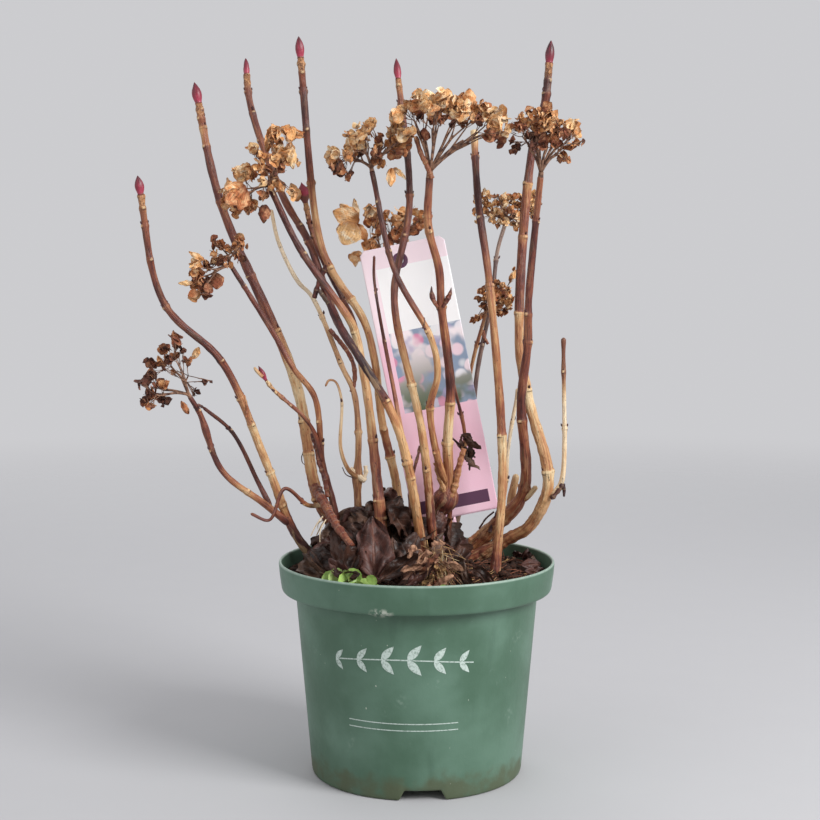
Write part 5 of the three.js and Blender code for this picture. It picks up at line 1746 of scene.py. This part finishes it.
        "cane": "cane_back_flower", "heart": (75, 78, 475), "rays": 6, "seed": 27, "pointed": 0.95,
        "each": (4, 6, 5.2),
        "clumps": [
            (52, 84, 482, 2), (56, 83, 483, 1), (61, 81, 484, 0), (68, 65, 482, 3), (75, 70, 480, 0),
            (80, 89, 483, 3), (84, 84, 482, 2), (93, 93, 484, 0), (97, 73, 483, 1), (103, 80, 484, 2),
            (107, 88, 483, 1), (54, 72, 477, 1), (59, 70, 478, 1), (65, 70, 475, 1), (72, 89, 476, 1),
            (77, 79, 478, 1), (85, 88, 479, 0), (89, 91, 476, 2), (96, 85, 477, 1), (101, 84, 477, 0),
            (107, 94, 479, 1), (58, 73, 470, 2), (65, 91, 470, 1), (69, 61, 469, 0), (77, 91, 471, 0),
            (82, 66, 470, 3), (86, 73, 470, 2), (93, 77, 471, 2), (100, 83, 472, 1), (103, 75, 471, 0),
            (65, 73, 463, 1), (72, 81, 466, 1), (76, 90, 466, 2), (89, 72, 463, 0), (95, 81, 466, 0),
            (101, 80, 466, 0), (73, 96, 460, 2), (77, 71, 460, 0), (86, 83, 458, 1), (90, 67, 458, 1),
            (52, 72, 468, 2, 3, 6, 2), (55, 70, 461, 2, 3, 6, 1),
        ],
    },
    "head_back_low": {
        "cane": "cane_back_low", "heart": (69, 56, 396), "rays": 5, "seed": 31, "pointed": 1.05,
        "each": (2, 6, 5.4),
        "clumps": [
            (67, 50, 403, 3), (74, 56, 405, 2), (80, 62, 401, 1), (69, 44, 398, 2), (76, 48, 397, 3),
            (82, 58, 394, 1), (68, 52, 392, 4), (74, 44, 391, 2), (80, 52, 388, 3), (70, 46, 386, 2),
            (76, 58, 383, 3), (72, 52, 381, 3), (70, 60, 408, 3), (78, 66, 394, 4), (72, 66, 389, 3),
            (74, 68, 401, 4), (78, 42, 391, 1), (69, 40, 395, 3), (57, 56, 401, 3), (60, 50, 396, 2),
            (54, 60, 394, 3), (58, 54, 389, 4), (61, 58, 385, 3), (58, 62, 380, 3), (53, 50, 378, 2),
            (50, 54, 375, 3), (82, 58, 412, 2, 3, 6, 1),
        ],
        "petals": [
            (87, 56, 419, 83, 54, 411, 0.8, 0.3, -0.9, 1), (83, 58, 418, 85, 56, 422, 0.7, 0.3, 0.9, 2),
        ],
    },
    "head_behind_label": {
        "cane": "cane_behind_label", "heart": (-32, 90, 444), "rays": 6, "seed": 35,
        "clumps": [
            (-42, 65, 469, 3, 4, 11.3, 1), (-39, 99, 464, 4, 4, 11.6, 2), (-34, 84, 469, 3, 3, 7.93, 2),
            (-34, 103, 461, 4, 3, 9.83, 1), (-40, 77, 441, 4, 4, 9.64, 2), (-36, 93, 449, 3, 3, 7.09, 3),
            (-44, 113, 438, 3, 3, 7.2, 3), (-31, 67, 452, 3, 4, 6.96, 3), (-27, 103, 469, 3, 3, 7.15, 3),
            (-28, 87, 461, 4, 3, 7.95, 2), (-18, 65, 461, 4, 4, 9.55, 1), (-13, 94, 469, 4, 3, 11.5, 1),
            (-22, 78, 465, 3, 3, 7.02, 1), (-12, 108, 462, 4, 5, 9.87, 2), (-17, 77, 454, 4, 5, 8.76, 3),
            (-21, 93, 448, 4, 4, 7.09, 4), (-13, 108, 453, 3, 3, 9.86, 0), (-2, 67, 469, 3, 4, 6.09, 2),
            (2, 103, 461, 5, 8, 8.04, 3), (-4, 87, 454, 4, 6, 7.95, 4), (5, 71, 466, 3, 4, 7.85, 2),
            (4, 99, 458, 4, 5, 8.02, 3), (-11, 84, 445, 3, 3, 7.04, 2), (-54, 103, 430, 3, 3, 9.83, 1),
            (-25, 77, 443, 4, 4, 7.89, 3),
        ],
        "petals": [
            (-49, 71, 461, -72, 69, 468, 0.75, 0.4, -0.5, 1),
            (-51, 76, 460, -69, 74, 455, 0.6, -0.3, -0.5, 1),
            (-54, 68, 460, -63, 66, 441, 1.05, 0.35, -0.5, 0),
            (-53, 74, 459, -43, 72, 445, 0.65, -0.3, -0.6, 2),
            (-51, 82, 463, -67, 80, 475, 0.6, 0.4, -0.5, 1), (-51, 90, 464, -55, 88, 481, 0.45, 0.4, -1, 0),
            (-60, 95, 433, -51, 93, 426, 0.8, 0.5, -1, 1),
        ],
    },
}
headShape = {
    "reach": 0.6,
    "rayThick": 0.0026,
    "stalkThick": 0.0007,
    "sepalRows": 7,
    "sepalCols": 6,
    "wide": (0.8, 1.2),
    "curl": (-0.8, 1.5),
    "roll": (-1.2, 1.5),
    "crumple": 0.055,
    "petalRows": 15,
    "petalCols": 11,
    "grown": 1.3,
    "filler": 3,
    "rayDark": "4f3328",
    "rayPale": "9a735a",
}


# Papery sepal: its base colour, paler or darker in clouds, with fine veins fanning from its foot and
# a thin dark rim, and painted shade darkening its foot deep in the clump.
def sepalFinish(name, colour, dark, light):
    finish = Finish(name, {"Specular IOR Level": 0.3, "Sheen Weight": 0.1})
    along, across = finish.mark("along"), finish.mark("across")
    cloud = finish.noise(0.005, 4)
    blotch = finish.noise(0.0022, 4)
    fine = finish.noise(0.0013, 3)
    fan = finish.node("Math", {"operation": "PINGPONG"}, {0: across * 4.5 + fine * 0.7, 1: 0.5})
    vein = (1 - finish.rise(fan, 0.02, 0.13)) * finish.rise(along, 0.05, 0.3)
    rim = finish.rise(along, 0.88, 0.98) * 0.55
    body = finish.coats(finish.blend(finish.rise(cloud, 0.44, 0.66), colour, light), [
        (finish.rise(blotch, 0.56, 0.72) * 0.5, dark),
        # Painted shade: each sepal is darkened towards its foot, where the sepals crowd in the clump's
        # heart.
        ((1 - finish.rise(along, 0.0, 0.4)) * 0.8, dark),
        (finish.largest(vein * 0.36, rim), dark),
    ])
    normal = finish.bump(cloud * 1.2 + blotch * 0.8 + fine * 0.6 - vein * 0.6, 0.0007, 0.9)
    return finish.feed(colour=body, roughness=0.66 + fine * 0.15, normal=normal)


sepalColours = {
    "cream": ("f7ca90", "a05c24", "fdebcc"),
    "gold": ("efb274", "8c4a18", "fcdcb0"),
    "tan": ("d6925a", "743a14", "f2c492"),
    "russet": ("b66f44", "52220f", "dda87a"),
    "brown": ("884a30", "36160c", "bd8560"),
    "dark": ("582c1c", "240d08", "8a5640"),
}
sepalFinishes = [sepalFinish("sepal_" + name, *colours) for name, colours in sepalColours.items()]


def rayFinish():
    finish = Finish("head_rays", {"Roughness": 0.7})
    streak = finish.noise(0.004, 4)
    fine = finish.noise(0.0011, 3)
    colour = finish.blend(finish.rise(streak, 0.35, 0.65), headShape["rayDark"], headShape["rayPale"])
    return finish.feed(colour=colour, normal=finish.bump(fine, 0.0003, 0.7))


# The clumps of a head in metres, in the order of their bearing round its axis.
def clumpRows(spec, heart):
    full = [row if len(row) == 7 else (*row[:3], *spec["each"], row[3]) for row in spec["clumps"]]
    rows = np.array(full) * [0.001, 0.001, 0.001, 0.001, 1, 0.001, 1]
    axis = unit(heart - curves[spec["cane"]][-1])
    side = unit(np.cross([0, 1.0, 0], axis))
    away = rows[:, :3] - heart
    return rows[np.argsort(np.arctan2(away @ np.cross(axis, side), away @ side))], axis


# The ribs of a head: main rays that leave the cane's tip close together and spread, forks from each
# ray to a few clumps, and thin stalks on into each clump. Returns bent lines with their radii.
def headRibs(spec, rows, axis, dice):
    curve = curves[spec["cane"]]
    way = unit(curve[-1] - curve[-3])
    thick = metres(canes[spec["cane"]]["thick"][1])
    knuckle = curve[-1] + way * thick * 0.9
    lines = [(curve[-1] - way * 0.002, curve[-1] + way * 0.001, knuckle, thick / 2, thick * 0.42)]
    thin = []
    ray, stalk = headShape["rayThick"] / 2, headShape["stalkThick"]
    at = rows[:, :3]
    for part in np.array_split(np.arange(len(at)), spec["rays"]):
        end = knuckle + (at[part].mean(axis=0) - knuckle) * headShape["reach"]
        reach = np.linalg.norm(end - knuckle)
        bow = knuckle * 0.55 + end * 0.45 + axis * reach * 0.16 + dice.normal(0, 0.0008, 3)
        lines.append((knuckle - way * 0.001, bow, end, ray, ray * 0.72))
        far = np.linalg.norm(at[part] - knuckle, axis=1)
        groups = np.array_split(part[np.argsort(far)], max(1, round(len(part) / 2)))
        for g, group in enumerate(groups):
            share = 0.5 + 0.5 * (g + 0.5) / len(groups)
            fork = knuckle * (1 - share) ** 2 + 2 * bow * share * (1 - share) + end * share**2
            hub = fork + (at[group].mean(axis=0) - fork) * 0.6
            bent = (fork + hub) / 2 + (end - bow) * 0.12 + dice.normal(0, 0.0008, 3)
            lines.append((fork, bent, hub, ray * 0.62, ray * 0.4))
            for f in group:
                middle = (hub + at[f]) / 2 + dice.normal(0, 0.0014, 3)
                thin.append((hub, middle, at[f], stalk / 2, stalk * 0.42))
                for _ in range(headShape["filler"]):
                    tip = at[f] + dice.normal(0, rows[f, 3] * 0.6, 3)
                    start = hub * 0.6 + at[f] * 0.4
                    bend = (start + tip) / 2 + dice.normal(0, 0.001, 3)
                    thin.append((start, bend, tip, stalk * 0.36, stalk * 0.25))
    return lines, thin


# Sepals crowd round the middle of each clump: leaf surfaces that face every way, more of them
# outwards, strongly curled and crumpled. Each takes its clump's colour or the one next to it.
def sepalGrids(spec, heart, rows, dice):
    which = np.repeat(np.arange(len(rows)), (rows[:, 4] * 1.25).astype(int))
    total = len(which)
    clump = rows[which]
    outward = unit(clump[:, :3] - heart)
    along = unit(dice.normal(size=(total, 3)) + outward * 0.45 + [0, 0, 0.12])
    face = unit(np.cross(along, dice.normal(size=(total, 3))) + outward * 0.3)
    length = clump[:, 5] * headShape["grown"] * dice.uniform(0.68, 1.05, total)
    shake = dice.normal(size=(total, 3)) * clump[:, 3:4] * 0.4
    root = clump[:, :3] - along * length[:, None] * 0.42 + shake
    wide, bend, roll = (dice.uniform(*headShape[key], total) for key in ("wide", "curl", "roll"))
    grids = blades(root, along, face, length, length * wide, bend, roll, length * headShape["crumple"],
                   spec["seed"] + 1, headShape["sepalRows"], headShape["sepalCols"], shoulder=0.74,
                   full=spec.get("pointed", 0.75))
    shift = dice.choice([-1, 0, 0, 0, 1], total) + spec.get("darker", 0)
    looks = np.clip(clump[:, 6] + shift, 0, 5).astype(int)
    return grids, looks


# Single large petals, each from its own foot to its tip, turned to the front.
def petalGrids(spec):
    rows = np.array(spec["petals"]) * ([0.001] * 6 + [1] * 4)
    foot, tip = rows[:, :3], rows[:, 3:6]
    length = np.linalg.norm(tip - foot, axis=1) * 1.08
    face = np.array([0.1, -1.0, 0.25]) + 0 * foot
    grids = blades(foot, tip - foot, face, length, length * rows[:, 6], rows[:, 7], rows[:, 8] * 1.4,
                   length * 0.05, spec["seed"] + 2, headShape["petalRows"], headShape["petalCols"],
                   ragged=0.06, folded=0.1)
    return grids, rows[:, 9].astype(int)


# A head is two pieces: its ribs as tubes, and on them its sepals and single petals as blades.
def makeHead(name, spec, rays):
    dice = np.random.default_rng(spec["seed"])
    heart = metres(spec["heart"])
    rows, axis = clumpRows(spec, heart)
    lines, thin = headRibs(spec, rows, axis, dice)
    shape = Shape()
    for batch, high, cols in ((lines, 7, 7), (thin, 5, 4)):
        start, middle, end, r0, r1 = (np.array([line[k] for line in batch]) for k in range(5))
        shape.add(twigs(start, middle, end, np.stack([r0, r1], axis=1), high, cols))
    shape.piece(name + "_rays", [rays], "dried_head", [name])
    florets = Shape()
    batches = [sepalGrids(spec, heart, rows, dice)]
    if "petals" in spec:
        batches.append(petalGrids(spec))
    for grids, looks in batches:
        florets.add(grids, tube=False, looks=looks, marks=bladeMarks(*grids.shape[1:3]))
    florets.piece(name + "_sepals", sepalFinishes, "dried_head")


rays = rayFinish()
for name, spec in heads.items():
    makeHead(name, spec, rays)
print("dried heads made")


# Floor and light

stage = {
    "floor": 6.0,
    "floorColour": "bababc",
    "floorTone": "adadb0",
    "fade": (0.9, 2.9),
    "world": "d6d6d9",
    "worldStrength": 0.9,
    "lamps": [
        ("key", (1.7, -1.3, 1.5), 1.1, 62),
        ("fill", (-1.8, -1.3, 1.2), 1.8, 8),
        ("back", (-0.4, 1.9, 1.6), 1.6, 12),
    ],
    "aim": (0, 0, 0.32),
}


# A pale floor that fades out around the plant, an even sky and three soft lamps.
def makeStage():
    size = stage["floor"] / 2
    corners = [(-size, -size, 0), (size, -size, 0), (size, size, 0), (-size, size, 0)]
    mesh = bpy.data.meshes.new("floor")
    mesh.from_pydata(corners, [], [(0, 1, 2, 3)])
    finish = Finish("floor_pale", {"Roughness": 1.0, "Specular IOR Level": 0.1})
    tone = finish.noise(0.05, 3)
    near = finish.blend(tone * 0.15, stage["floorColour"], stage["floorTone"])
    away = finish.node("VectorMath", {"operation": "LENGTH"}, {0: finish.place()}, out="Value")
    finish.feed(colour=near, alpha=1 - finish.rise(away, *stage["fade"]))
    mesh.materials.append(finish.material)
    floor = bpy.data.objects.new("floor", mesh)
    bpy.context.collection.objects.link(floor)
    world = bpy.data.worlds.new("studio")
    world.use_nodes = True
    sky = world.node_tree.nodes["Background"]
    sky.inputs["Color"].default_value = paint(stage["world"])
    sky.inputs["Strength"].default_value = stage["worldStrength"]
    bpy.context.scene.world = world
    for name, at, wide, power in stage["lamps"]:
        lamp = bpy.data.lights.new(name, "AREA")
        lamp.size = wide
        lamp.energy = power
        made = bpy.data.objects.new(name, lamp)
        made.location = at
        aim = unit(np.array(stage["aim"]) - np.array(at))
        made.rotation_euler = (math.acos(-aim[2]), 0, math.atan2(aim[1], aim[0]) - math.pi / 2)
        bpy.context.collection.objects.link(made)
    bpy.context.scene.view_settings.view_transform = "Standard"


makeStage()
print("stage made")
